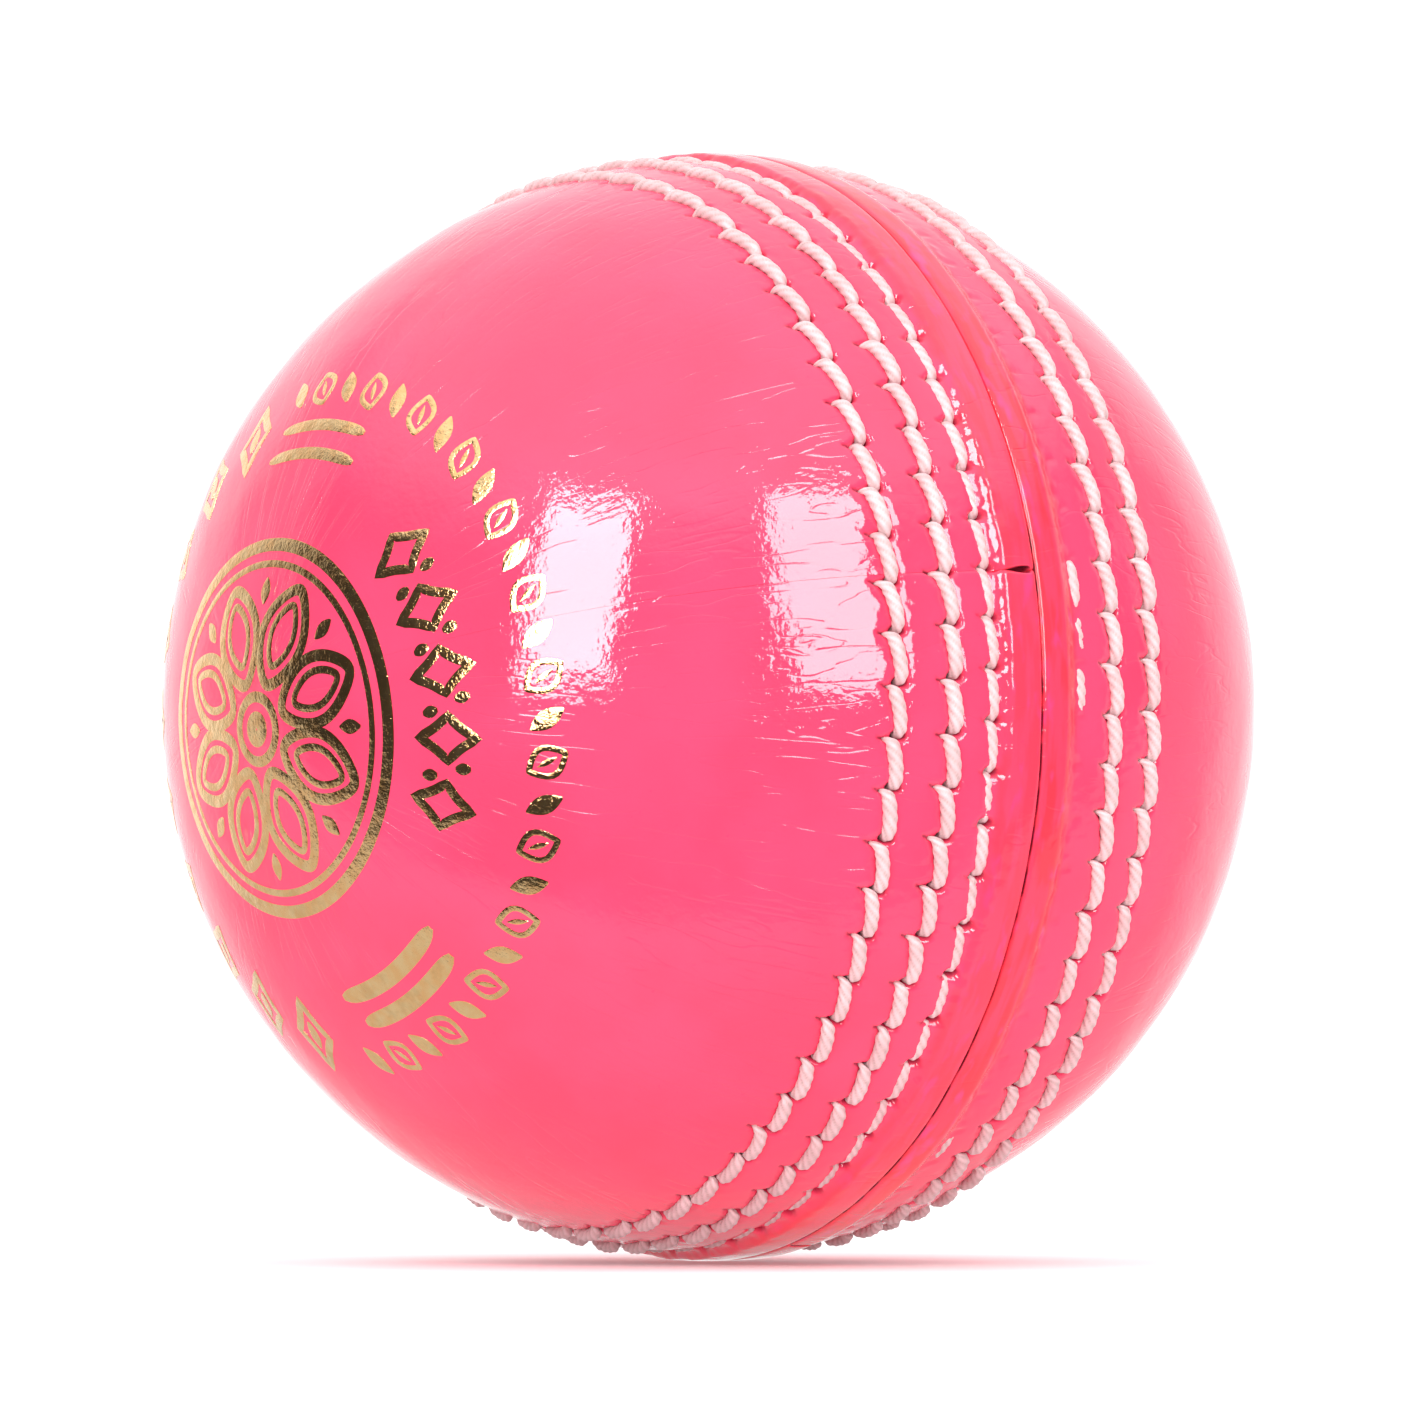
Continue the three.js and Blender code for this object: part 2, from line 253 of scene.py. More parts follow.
def directions(arc, longitude):
    """Unit vectors at places on the cover."""
    latitude = arc / COVER_RADIUS
    across, around = np.sin(latitude), np.cos(latitude)
    return np.stack(
        [across, -around * np.cos(longitude), around * np.sin(longitude)], axis=-1
    )


def dome_height(unit):
    """Slow unevenness of the leather over the ball, in mm."""
    points = unit * COVER_RADIUS
    return sum(
        height * smooth_field(points, size, seed)
        for seed, (height, size) in enumerate(DOME_WAVES, start=1)
    )


# ---------------------------------------------------------------- meshes

def signed_volume(points, faces):
    """Volume inside the faces, negative where they point inwards."""
    total = 0.0
    for count in {len(face) for face in faces}:
        corners = points[np.array([face for face in faces if len(face) == count])]
        for i in range(1, count - 1):
            turned = np.cross(corners[:, i], corners[:, i + 1])
            total += np.einsum("ij,ij->", corners[:, 0], turned) / 6
    return total


def add_object(name, contents):
    """A new object in the scene."""
    made = bpy.data.objects.new(name, contents)
    bpy.context.scene.collection.objects.link(made)
    return made


def new_piece(name, mesh_data, material, node=None, sharp_angle=None):
    """A mesh object in a slot, riding on the ball's one body, and standing for a CAD node.

    mesh_data is the points in mm, the faces, and values for each point where there are any."""
    points, faces, *values = mesh_data
    points = np.asarray(points)
    if signed_volume(points, faces) < 0:
        faces = [face[::-1] for face in faces]
    mesh = bpy.data.meshes.new(name)
    mesh.from_pydata((points * MM).tolist(), [], faces)
    mesh.validate()
    for key, numbers in (values[0] if values else {}).items():
        layer = mesh.attributes.new(key, "FLOAT", "POINT")
        layer.data.foreach_set("value", np.asarray(numbers, dtype=np.float32))
    mesh.polygons.foreach_set("use_smooth", [True] * len(mesh.polygons))
    if sharp_angle:
        mesh.set_sharp_from_angle(angle=math.radians(sharp_angle))
    mesh.materials.append(material)
    mesh.update()
    piece = add_object(name, mesh)
    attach(piece, "root")
    if node:
        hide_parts(node)


def bridge(first, second):
    """Faces between two chains of vertex numbers that run side by side."""
    if len(first) == len(second):
        return [
            (first[i], first[i + 1], second[i + 1], second[i])
            for i in range(len(first) - 1)
        ]
    faces = []
    i, j = 0, 0
    last_i, last_j = len(first) - 1, len(second) - 1
    while i < last_i or j < last_j:
        step_first = j == last_j or (i < last_i and (i + 1) * last_j <= (j + 1) * last_i)
        if step_first:
            faces.append((first[i], first[i + 1], second[j]))
            i += 1
        else:
            faces.append((first[i], second[j + 1], second[j]))
            j += 1
    return faces


def tube_faces(start, rings, around, endless):
    """Faces of a tube of vertex rings from vertex start on, with flat ends if it isn't endless."""
    faces = []
    for i in range(rings if endless else rings - 1):
        here, after = start + i * around, start + (i + 1) % rings * around
        for j in range(around):
            k = (j + 1) % around
            faces.append((here + j, here + k, after + k, after + j))
    if not endless:
        last = start + (rings - 1) * around
        faces.append(tuple(range(start, start + around))[::-1])
        faces.append(tuple(range(last, last + around)))
    return faces


def fan(ring, pole):
    """Triangles from a ring of vertex numbers to a pole."""
    return [(here, after, pole) for here, after in zip(ring, ring[1:] + ring[:1])]


class Shell:
    """A closed half-turn shell, from rings of points that run from one split face to the other."""

    def __init__(self):
        self.points = []
        self.values = []
        self.rings = []

    def add_ring(self, points, values=None):
        """Adds a ring of points in mm, with a value for each."""
        start = len(self.points)
        self.points.extend(points)
        self.values.extend(np.zeros(len(points)) if values is None else values)
        self.rings.append(list(range(start, start + len(points))))

    def faces(self, outer_count):
        """All faces. The first outer_count rings are the outer face, from the join to the pole."""
        made = []
        for here, after in zip(self.rings, self.rings[1:] + self.rings[:1]):
            made += bridge(here, after)
        outer, inner = self.rings[:outer_count], self.rings[outer_count:][::-1]
        made += bridge([ring[0] for ring in outer], [ring[0] for ring in inner])
        made += bridge([ring[-1] for ring in inner], [ring[-1] for ring in outer])
        return [face for face in made if len(set(face)) == len(face)]


# ---------------------------------------------------------------- materials

LEATHER_DEEP = (0.93, 0.054, 0.126, 1)
LEATHER_PALE = (0.95, 0.064, 0.148, 1)
LEATHER_SPECK = (0.70, 0.03, 0.12, 1)
# Painted shade in the leather's holes, folds, gaping slit and join
LEATHER_PAINTED_SHADE = (0.06, 0.004, 0.008, 1)
LIP_RED = (0.95, 0.040, 0.066, 1)
LIP_MAGENTA = (0.94, 0.055, 0.19, 1)
THREAD_DULL = (0.715, 0.465, 0.485, 1)
THREAD_CREAM = (0.82, 0.575, 0.60, 1)
THREAD_FIBRE = (0.60, 0.36, 0.35, 1)
# Painted shade in the thread's ply grooves
THREAD_PAINTED_GROOVE_SHADE = (0.36, 0.19, 0.15, 1)
# Painted shade where the thread dips into its holes
THREAD_PAINTED_HOLE_SHADE = (0.05, 0.02, 0.015, 1)
GOLD_DEEP = (1.0, 0.58, 0.25, 1)
GOLD_PALE = (1.0, 0.68, 0.34, 1)
GOLD_DULL = (0.30, 0.16, 0.05, 1)
GOLD_WORN = (0.80, 0.10, 0.16, 1)

# How much of its redder colour each cup's lip shows
LIP_REDNESS = {"stamped": 0.7, "plain": 1.0}

# Leather under its lacquer, with the heights of its grain and the depth of its creases in mm
LACQUERED = {
    "Roughness": 0.32,
    "Specular IOR Level": 0.0,
    "Coat Weight": 1.0,
    "Coat Roughness": 0.03,
    "Coat IOR": 1.5,
}
PEBBLE_HEIGHT = 0.022
SWELL_HEIGHT = 0.010
CREASE_DEPTH = 0.017
STRAY_CREASES = 0.75


def new_material(name):
    """A material and its node tree."""
    material = bpy.data.materials.new(name)
    material.use_nodes = True
    return material, material.node_tree


def add_node(tree, kind, inputs=None, **settings):
    """A node with its settings, and its inputs set to values or linked to sockets."""
    made = tree.nodes.new(kind)
    for key, value in settings.items():
        setattr(made, key, value)
    for key, value in (inputs or {}).items():
        if isinstance(value, bpy.types.NodeSocket):
            tree.links.new(value, made.inputs[key])
        else:
            made.inputs[key].default_value = value
    return made


def compute(tree, operation, first, second=0.0):
    """Output of a Math node."""
    return add_node(tree, "ShaderNodeMath", {0: first, 1: second}, operation=operation).outputs[0]


def times(tree, first, second):
    """Product of two values."""
    return compute(tree, "MULTIPLY", first, second)


def plus(tree, first, second):
    """Sum of two values."""
    return compute(tree, "ADD", first, second)


def noise(tree, coordinates, size_mm, detail=2.0, roughness=0.5):
    """Noise from 0 to 1, with features of about size_mm."""
    settings = {"Vector": coordinates, "Scale": 1 / (size_mm * MM)}
    settings |= {"Detail": detail, "Roughness": roughness}
    return add_node(tree, "ShaderNodeTexNoise", settings).outputs[0]


def remap(tree, value, low, high, to_low=0.0, to_high=1.0):
    """Clamped smooth change of range."""
    settings = {"Value": value, "From Min": low, "From Max": high}
    settings |= {"To Min": to_low, "To Max": to_high}
    made = add_node(tree, "ShaderNodeMapRange", settings, interpolation_type="SMOOTHSTEP")
    return made.outputs["Result"]


def blend(tree, share, first, second):
    """Mix of two colours."""
    colours = {0: share, 6: first, 7: second}
    return add_node(tree, "ShaderNodeMix", colours, data_type="RGBA").outputs[2]


def layers(tree, colour, *shades):
    """A colour with shades laid over it, each given as its share and its colour."""
    for share, shade in shades:
        colour = blend(tree, share, colour, shade)
    return colour


def tone(tree, size_mm, detail, dark, light):
    """Slow random change between two colours."""
    share = remap(tree, noise(tree, object_coordinates(tree), size_mm, detail), 0.3, 0.7)
    return blend(tree, share, dark, light)


def finish(material, colour, values, height_mm=None):
    """Gives a material its colour, its uniform values and its bump from a height in mm."""
    tree = material.node_tree
    shader = tree.nodes["Principled BSDF"]
    tree.links.new(colour, shader.inputs["Base Color"])
    for key, value in values.items():
        shader.inputs[key].default_value = value
    if height_mm is not None:
        made = add_node(tree, "ShaderNodeBump", {"Height": height_mm, "Distance": MM})
        for layer in ("Normal", "Coat Normal"):
            tree.links.new(made.outputs["Normal"], shader.inputs[layer])
    return material


def object_coordinates(tree, scale=(1, 1, 1)):
    """Places on the ball, stretched by scale."""
    place = add_node(tree, "ShaderNodeTexCoord").outputs["Object"]
    if scale == (1, 1, 1):
        return place
    made = add_node(tree, "ShaderNodeMapping", {"Vector": place, "Scale": scale})
    return made.outputs["Vector"]


def meridian_coordinates(tree, stretch):
    """Places on the ball, stretched so that a texture's features run from the join to the poles."""
    parts = add_node(tree, "ShaderNodeSeparateXYZ", {0: object_coordinates(tree)}).outputs
    across = times(tree, parts[1], parts[1])
    upwards = times(tree, parts[2], parts[2])
    reach = compute(tree, "SQRT", plus(tree, across, upwards))
    share = compute(tree, "DIVIDE", COVER_RADIUS * MM, reach)
    made = add_node(tree, "ShaderNodeCombineXYZ", {
        0: times(tree, parts[0], stretch),
        1: times(tree, parts[1], share),
        2: times(tree, parts[2], share),
    })
    return made.outputs[0]


def attribute(tree, name):
    """A value stored on the mesh."""
    return add_node(tree, "ShaderNodeAttribute", attribute_name=name).outputs["Fac"]


def creases(tree, coordinates, size_mm, width):
    """Thin lines where a stretched noise crosses its middle."""
    wave = noise(tree, coordinates, size_mm, detail=1.5)
    distance = compute(tree, "ABSOLUTE", compute(tree, "SUBTRACT", wave, 0.5))
    return remap(tree, distance, 0.0, width, 1.0, 0.0)


def pull_lines(tree, place):
    """Fine creases in the leather: pulled towards the stitches, and strays in patches elsewhere."""
    from_join = add_node(tree, "ShaderNodeSeparateXYZ", {0: place}).outputs[0]
    from_join = compute(tree, "ABSOLUTE", from_join)
    beside = remap(tree, from_join, 10.0 * MM, 10.8 * MM, 0.2, 1.0)
    fade = remap(tree, from_join, 16.0 * MM, 28.0 * MM, 1.0, 0.0)
    uneven = remap(tree, noise(tree, place, 4.0, detail=1), 0.38, 0.56, 0.15, 1.0)
    pulled = times(tree, times(tree, beside, fade), uneven)
    pull = times(tree, creases(tree, meridian_coordinates(tree, 0.16), 1.5, 0.030), pulled)
    patch = remap(tree, noise(tree, place, 6.0, detail=1), 0.42, 0.58, 0.0, STRAY_CREASES)
    stray = times(tree, creases(tree, meridian_coordinates(tree, 0.34), 2.0, 0.024), patch)
    return compute(tree, "MAXIMUM", pull, stray)


def leather_material():
    """Hot pink leather under a thick gloss lacquer."""
    material, tree = new_material("leather")
    place = object_coordinates(tree)
    lip = attribute(tree, "lip")
    streak_place = object_coordinates(tree, (1, 0.16, 0.16))
    blotch_place = object_coordinates(tree, (1, 0.4, 0.4))
    streak = remap(tree, noise(tree, streak_place, 0.9), 0.35, 0.65)
    redness = times(tree, lip, remap(tree, streak, 0.0, 1.0, 0.45, 1.0))
    blotch = times(tree, remap(tree, noise(tree, blotch_place, 1.1), 0.55, 0.75), lip)
    speck = remap(tree, noise(tree, place, 0.35, detail=2), 0.68, 0.8, 0.0, 0.25)
    # The last layer is painted shade from the mesh's pit value, in the holes, folds, slit and join
    colour = layers(
        tree, tone(tree, 9.0, 3, LEATHER_DEEP, LEATHER_PALE), (redness, LIP_RED),
        (blotch, LIP_MAGENTA), (speck, LEATHER_SPECK), (attribute(tree, "pit"), LEATHER_PAINTED_SHADE),
    )
    pebble = times(tree, noise(tree, place, 0.50, detail=2, roughness=0.55), PEBBLE_HEIGHT)
    swell = times(tree, noise(tree, place, 1.7, detail=2), SWELL_HEIGHT)
    crease = times(tree, pull_lines(tree, place), CREASE_DEPTH)
    height = compute(tree, "SUBTRACT", plus(tree, pebble, swell), crease)
    return finish(material, colour, LACQUERED, height)


def fibrous_material(name, slow, hair, between, height_mm, values, shadows=()):
    """Hairs over a slow change of tone, with painted shade from values stored on the mesh.

    slow has a tone's size in mm, detail and two colours. hair has a noise's size in mm, detail and
    roughness. between has the noise where the colour between hairs starts and is full, its share
    and the colour. Each of shadows has a value's name, its share and its colour."""
    material, tree = new_material(name)
    hairs = noise(tree, object_coordinates(tree), *hair)
    start, full, most, shade = between
    shades = [(remap(tree, hairs, start, full, 0.0, most), shade)]
    shades += [(times(tree, attribute(tree, key), share), shade) for key, share, shade in shadows]
    colour = layers(tree, tone(tree, *slow), *shades)
    return finish(material, colour, values, times(tree, hairs, height_mm))


def thread_material():
    """Waxed cream linen thread."""
    return fibrous_material(
        "thread",
        slow=(2.2, 2, THREAD_DULL, THREAD_CREAM),
        hair=(0.10, 3, 0.7),
        between=(0.35, 0.75, 0.35, THREAD_FIBRE),
        height_mm=0.035,
        values={"Roughness": 0.42, "Specular IOR Level": 0.6, "Sheen Weight": 0.25},
        # Painted shade: darker in the grooves between plies and where the thread dips into its
        # holes
        shadows=(("valley", 0.6, THREAD_PAINTED_GROOVE_SHADE), ("depth", 1.0, THREAD_PAINTED_HOLE_SHADE)),
    )


def foil_material():
    """Thin gold foil, pressed into the leather and a little rubbed."""
    material, tree = new_material("gold_foil")
    place = object_coordinates(tree)
    dull = remap(tree, noise(tree, place, 2.0, detail=3, roughness=0.65), 0.50, 0.66, 0, 0.15)
    worn = remap(tree, noise(tree, place, 0.28, detail=4, roughness=0.7), 0.66, 0.74, 0, 0.5)
    colour = tone(tree, 0.9, 3, GOLD_DEEP, GOLD_PALE)
    colour = layers(tree, colour, (dull, GOLD_DULL), (worn, GOLD_WORN))
    grain = times(tree, noise(tree, place, 0.30, detail=3, roughness=0.6), 0.05)
    swell = times(tree, noise(tree, place, 1.1, detail=1), 0.06)
    return finish(material, colour, {"Metallic": 1.0, "Roughness": 0.14}, plus(tree, grain, swell))


LEATHER = leather_material()
THREAD = thread_material()
FOIL = foil_material()


# ---------------------------------------------------------------- routes of the stitches

class Row:
    """One endless row of stitches, each a little different, as hand sewing is."""

    def __init__(self, cup, row, seed):
        rng = np.random.default_rng(seed)
        self.cup, self.row = cup, row
        self.arc = row_arc(cup, row)
        self.style = ROW_STYLES[cup, row]
        self.ring_radius = COVER_RADIUS * math.cos(self.arc / COVER_RADIUS)
        self.pitch = FULL_TURN / STITCHES_PER_ROW
        phase = rng.uniform(0, 1)
        drift = np.cumsum(rng.normal(0, DRIFT_SPREAD, STITCHES_PER_ROW))
        drift -= np.linspace(0, drift[-1], STITCHES_PER_ROW)
        self.turns = -(np.arange(STITCHES_PER_ROW) + phase + drift) * self.pitch
        self.side_shift = rng.normal(0, SHIFT_SPREAD, STITCHES_PER_ROW)
        self.slant = rng.normal(1.0, SLANT_SPREAD, STITCHES_PER_ROW)
        self.rise = rng.normal(0.0, self.style["uneven"], STITCHES_PER_ROW)
        self.hook = rng.normal(0.0, HOOK_SPREAD, STITCHES_PER_ROW)
        self.girth = rng.normal(1.0, GIRTH_SPREAD, STITCHES_PER_ROW)
        self.rise += self.style["swell"] * np.sin(self.turns)
        if (cup, row) == ("plain", "inner"):
            away = np.abs(around_ring(self.turns, PROUD_STITCH_LONGITUDE))
            self.rise[np.argmin(away)] = PROUD_STITCH_RISE

    def route(self, stitch):
        """Control points of a stitch: longitude, arc, height and thread radius."""
        along, across, height, thickness = STITCH_ROUTE.T.copy()
        across = across * self.slant[stitch] * self.style["sway"]
        across[:2] -= self.hook[stitch] + HOOK
        height = height + self.rise[stitch] - self.style["sink"]
        return np.stack([
            self.turns[stitch] + along * self.pitch,
            self.arc + self.side_shift[stitch] + across,
            height,
            thickness * self.girth[stitch] * self.style["thickness"] * THREAD_RADIUS,
        ], axis=-1)


ROW_LIST = [
    Row(cup, row, seed=10 + index)
    for index, (cup, row) in enumerate((cup, row) for cup in CUPS for row in ROWS)
]


# ---------------------------------------------------------------- thread pieces

def catmull_rom(control, steps):
    """Points along an endless smooth curve, with steps[i] points after control point i."""
    before, after = np.roll(control, 1, axis=0), np.roll(control, -1, axis=0)
    beyond = np.roll(control, -2, axis=0)
    made = []
    for i, count in enumerate(steps):
        t = (np.arange(count) / count)[:, None]
        a, b, c, d = before[i], control[i], after[i], beyond[i]
        made.append(
            0.5 * (2 * b + (c - a) * t + (2 * a - 5 * b + 4 * c - d) * t**2
                   + (3 * b - a - 3 * c + d) * t**3)
        )
    return np.concatenate(made)


def turned_frames(points, endless):
    """Directions along and across a path that turn with it as little as they can, and how far the
    last of them is turned from the first."""
    if endless:
        ahead = np.roll(points, -1, axis=0) - np.roll(points, 1, axis=0)
    else:
        ahead = np.gradient(points, axis=0)
    ahead /= np.linalg.norm(ahead, axis=1, keepdims=True)
    normal = np.cross(ahead[0], (1.0, 0.0, 0.0))
    normal /= np.linalg.norm(normal)
    normals = []
    for heading in ahead:
        normal = normal - heading * (normal @ heading)
        normal = normal / np.linalg.norm(normal)
        normals.append(normal)
    last = normals[-1] - ahead[0] * (normals[-1] @ ahead[0])
    side = np.cross(ahead[0], normals[0])
    slip = math.atan2(last @ side, last @ normals[0]) if endless else 0.0
    return ahead, np.array(normals), slip


def ply_outline(angle):
    """Relative radius of a twisted thread at angles round it, and how deep in a groove each is."""
    ply = FULL_TURN / PLIES
    from_crown = (angle + ply / 2) % ply - ply / 2
    across = PLY_OFFSET * np.sin(from_crown)
    radius = PLY_OFFSET * np.cos(from_crown) + np.sqrt(PLY_RADIUS**2 - across**2)
    lowest = PLY_OFFSET * math.cos(ply / 2) + math.sqrt(
        PLY_RADIUS**2 - (PLY_OFFSET * math.sin(ply / 2)) ** 2
    )
    groove = (1.0 - radius) / (1.0 - lowest)
    return radius, np.clip(groove, 0, 1) ** 1.5


def thread_mesh(points, radii, painted_hole_shades, twist_length, around=SECTION_POINTS, endless=True):
    """Points, faces and values of a twisted thread."""
    ahead, normals, slip = turned_frames(points, endless)
    sides = np.cross(ahead, normals)
    steps = np.linalg.norm(np.roll(points, -1, axis=0) - points, axis=1)
    if not endless:
        steps[-1] = 0
    travel = np.concatenate([[0], np.cumsum(steps)[:-1]])
    share = travel / steps.sum()
    twist = round(steps.sum() / twist_length * PLIES) * FULL_TURN / PLIES * share
    turn = np.arange(around) / around * FULL_TURN
    angle = turn[None, :] - (slip * share)[:, None]
    relative, groove = ply_outline(turn[None, :] + twist[:, None])
    reach = relative * radii[:, None]
    ring = (
        points[:, None, :]
        + (reach * np.cos(angle))[..., None] * normals[:, None, :]
        + (reach * np.sin(angle))[..., None] * sides[:, None, :]
    )
    faces = tube_faces(0, len(points), around, endless)
    # Painted shade for the thread's colour: how deep each point lies in a groove between plies, and
    # how far the thread has dipped into a hole
    depth = np.repeat(painted_hole_shades, around)
    return ring.reshape(-1, 3), faces, {"valley": groove.ravel(), "depth": depth}


def make_row(row):
    """The thread of one row."""
    control = np.concatenate([row.route(i) for i in range(STITCHES_PER_ROW)])
    places = directions(control[:, 1], control[:, 0]) * (COVER_RADIUS + control[:, 2:3])
    control = np.concatenate([places, control[:, 2:]], axis=1)
    smooth = catmull_rom(control, ROUTE_STEPS * STITCHES_PER_ROW)
    heights, radii = smooth[:, 3], smooth[:, 4]
    # Painted shade darkens the thread where it dips below the leather into its holes
    surface = -row.style["sink"] * 0.8
    painted_hole_shades = 1 - smoothstep(surface - SHADOW_FULL, surface - SHADOW_STARTS, heights)
    thread = thread_mesh(smooth[:, :3], radii, painted_hole_shades, TWIST_LENGTH)
    cup_row = f"{row.cup}_{row.row}"
    new_piece(f"thread_{cup_row}", thread, THREAD, f"stitch_row_{cup_row}")


for each_row in ROW_LIST:
    make_row(each_row)


# ---------------------------------------------------------------- leather quarters

def cup_profile(cup, arcs):
    """Height of the cover at arc lengths from the join, before any stitch is pulled in."""
    foot = LIP_FOOT[cup]
    lip = LIP_HEIGHT * (1 - smoothstep(foot - LIP_SLOPE[cup], foot + 0.12, arcs))
    crown = -LIP_CROWN * ((arcs - LIP_MIDDLE) / LIP_MIDDLE) ** 2 * (arcs < foot)
    rounded_edge = -EDGE_DROP * np.exp(-(arcs - JOIN_HALF_GAP) / EDGE_WIDTH)
    inner, middle, outer = (abs(row_arc(cup, row)) for row in ROWS)
    banks = mark(arcs - (inner + middle) / 2, INNER_BANK)
    banks += mark(arcs - (middle + outer) / 2, OUTER_BANK)
    troughs = mark(arcs - middle, TROUGH) + mark(arcs - outer, TROUGH)
    return lip + crown + rounded_edge + banks - troughs


def segment_distance(along, across, start, end):
    """Distance in mm from places beside a row to a short line."""
    line = end - start
    share = ((along - start[0]) * line[0] + (across - start[1]) * line[1]) / (line @ line)
    share = np.clip(share, 0, 1)
    return np.hypot(along - start[0] - share * line[0], across - start[1] - share * line[1])


def press_stitch(row, stitch, along, across):
    """Marks that one stitch makes in the leather, in mm: dent, rim, pit, fold and raised pinch.

    along and across are mm from the stitch's middle, upwards and towards +X."""
    route = row.route(stitch)
    path = np.stack([
        (route[:, 0] - row.turns[stitch]) * row.ring_radius, route[:, 1] - row.arc
    ], axis=1)
    out_hole, in_hole = path[0], path[IN_HOLE]
    shown = row.style["dent"]

    def reach(start, line):
        """Distance to a line whose two ends are given from start."""
        return segment_distance(along, across, start + line[0], start + line[1])

    distance = np.min([
        segment_distance(along, across, path[i], path[i + 1]) for i in range(1, IN_HOLE)
    ], axis=0)
    whisker = WHISKER_LINE * ((1, 1), (row.slant[stitch], 1))
    pit_out = mark(np.hypot(along - out_hole[0], across - out_hole[1]), OUT_HOLE_PIT)
    pit_in = mark(reach(in_hole, CRESCENT_LINE), IN_HOLE_PIT)
    marks = (
        mark(distance, DENT) * shown,
        mark(distance - RIM_REACH, RIM) * shown,
        np.maximum(pit_out, pit_in) * min(1, 2 * shown),
        mark(reach(out_hole, whisker), WHISKER) * shown,
        mark(reach(in_hole, PINCH_LINE), PINCH) * shown,
    )
    near = np.abs(along) < row.pitch * row.ring_radius
    return [made * near for made in marks]


def lip_dimples(row, longitudes, arcs):
    """Shallow hollows that the inner row pulls into the lip."""
    hollow = np.zeros((len(arcs), len(longitudes)))
    width_along, width_across = DIMPLE_WIDTHS
    across = bump(arcs[:, None] - LIP_FOOT[row.cup] + DIMPLE_FROM_FOOT, width_across)
    across *= DIMPLE_DEPTH * row.style["dent"]
    for turn in row.turns - row.pitch * 0.5:
        gap = around_ring(longitudes, turn) * row.ring_radius
        columns = np.abs(gap) < DIMPLE_REACH
        hollow[:, columns] += bump(gap[columns][None, :], width_along) * across
    return hollow


def pucker_height(cup, arcs):
    """Height of the puckers in the leather beside the rows, in mm."""
    rows = [abs(row_arc(cup, row)) for row in ROWS]
    foot = mark(arcs - LIP_FOOT[cup] + 0.1, LIP_PUCKERS)
    return foot + sum(mark(arcs - row, ROW_PUCKERS) for row in rows[1:])


def slit_window(arcs):
    """Where along its arc the quarter seam gapes: widest near the join, closed past the lip."""
    return smoothstep(0.2, 0.5, arcs) * (1 - smoothstep(0.9, 2.5, arcs))


def quarter_relief(cup, longitudes, arcs, seam_gap):
    """Height of a quarter over a grid of arcs and longitudes, and the painted shade in its pits,
    folds, slit and join.

    seam_gap is each longitude's distance from the nearer quarter seam, in mm at the join."""
    side = CUPS[cup]
    grid_arcs, grid_turns = np.meshgrid(arcs, longitudes, indexing="ij")
    unit = directions(side * grid_arcs, grid_turns)
    height = np.repeat(cup_profile(cup, arcs)[:, None], len(longitudes), axis=1)
    height += dome_height(unit)
    marks = np.zeros((5, *height.shape))
    for row in (r for r in ROW_LIST if r.cup == cup):
        rows = np.nonzero(np.abs(arcs - abs(row.arc)) < MARK_REACH)[0]
        if len(rows) == 0:
            continue
        for stitch in range(STITCHES_PER_ROW):
            turn = around_ring(longitudes, row.turns[stitch])
            columns = np.nonzero(np.abs(turn) < row.pitch * 1.05)[0]
            if len(columns) == 0:
                continue
            along = np.repeat((turn[columns] * row.ring_radius)[None, :], len(rows), axis=0)
            across = np.repeat((side * arcs[rows] - row.arc)[:, None], len(columns), axis=1)
            window = np.ix_(rows, columns)
            for whole, part in zip(marks, press_stitch(row, stitch, along, across)):
                whole[window] = np.maximum(whole[window], part)
        if row.row == "inner":
            height -= lip_dimples(row, longitudes, arcs)
    dent, rim, pit, fold, raised = marks
    height += rim + raised - dent - fold - pit
    puckers = smooth_field(unit * COVER_RADIUS, PUCKER_SIZE, seed=4)
    height += puckers * pucker_height(cup, arcs)[:, None]
    on_dome, among_rows, on_lip = SEAM_DEPTHS
    seam_depth = on_dome + among_rows * (1 - smoothstep(7.0, 11.0, arcs))
    seam_depth += on_lip * (arcs < LIP_FOOT[cup])
    height -= bump(seam_gap[None, :], SEAM_WIDTH) * seam_depth[:, None]
    # Painted shade for the leather's colour: dark in deep pits and along folds, and in the gaping
    # slit
    shade = np.clip(pit / FULL_PIT_SHADE_DEPTH + FOLD_PAINTED_SHADE * fold / WHISKER[0], 0, 1)
    painted_slit_shade = slit_window(arcs)[:, None] * (1 - smoothstep(0.02, 0.12, seam_gap))[None, :]
    # Painted shade along the join's gap: stronger towards the bottom of the ball and broken into
    # dashes
    join = 1 - smoothstep(JOIN_HALF_GAP, JOIN_HALF_GAP + JOIN_SHADOW, arcs)
    beside_join = unit[0] * COVER_RADIUS
    painted_join_shade = 0.5 * smooth_field(beside_join, 9.0, seed=5) - unit[0, :, 2]
    breaks = smoothstep(-1.2, 0.8, smooth_field(beside_join, 1.4, seed=7))
    painted_join_shade = (0.10 + 0.80 * smoothstep(-0.5, 0.6, painted_join_shade)) * (0.4 + 0.6 * breaks)
    shade = np.maximum(shade, np.maximum(painted_slit_shade, join[:, None] * painted_join_shade[None, :]))
    return height, shade


# Columns of a quarter's mesh. Up to each arc (mm), only one in so many of them is used.
COLUMNS = 730
COLUMN_STEPS = ((12.8, 1), (49, 3), (math.inf, 9))


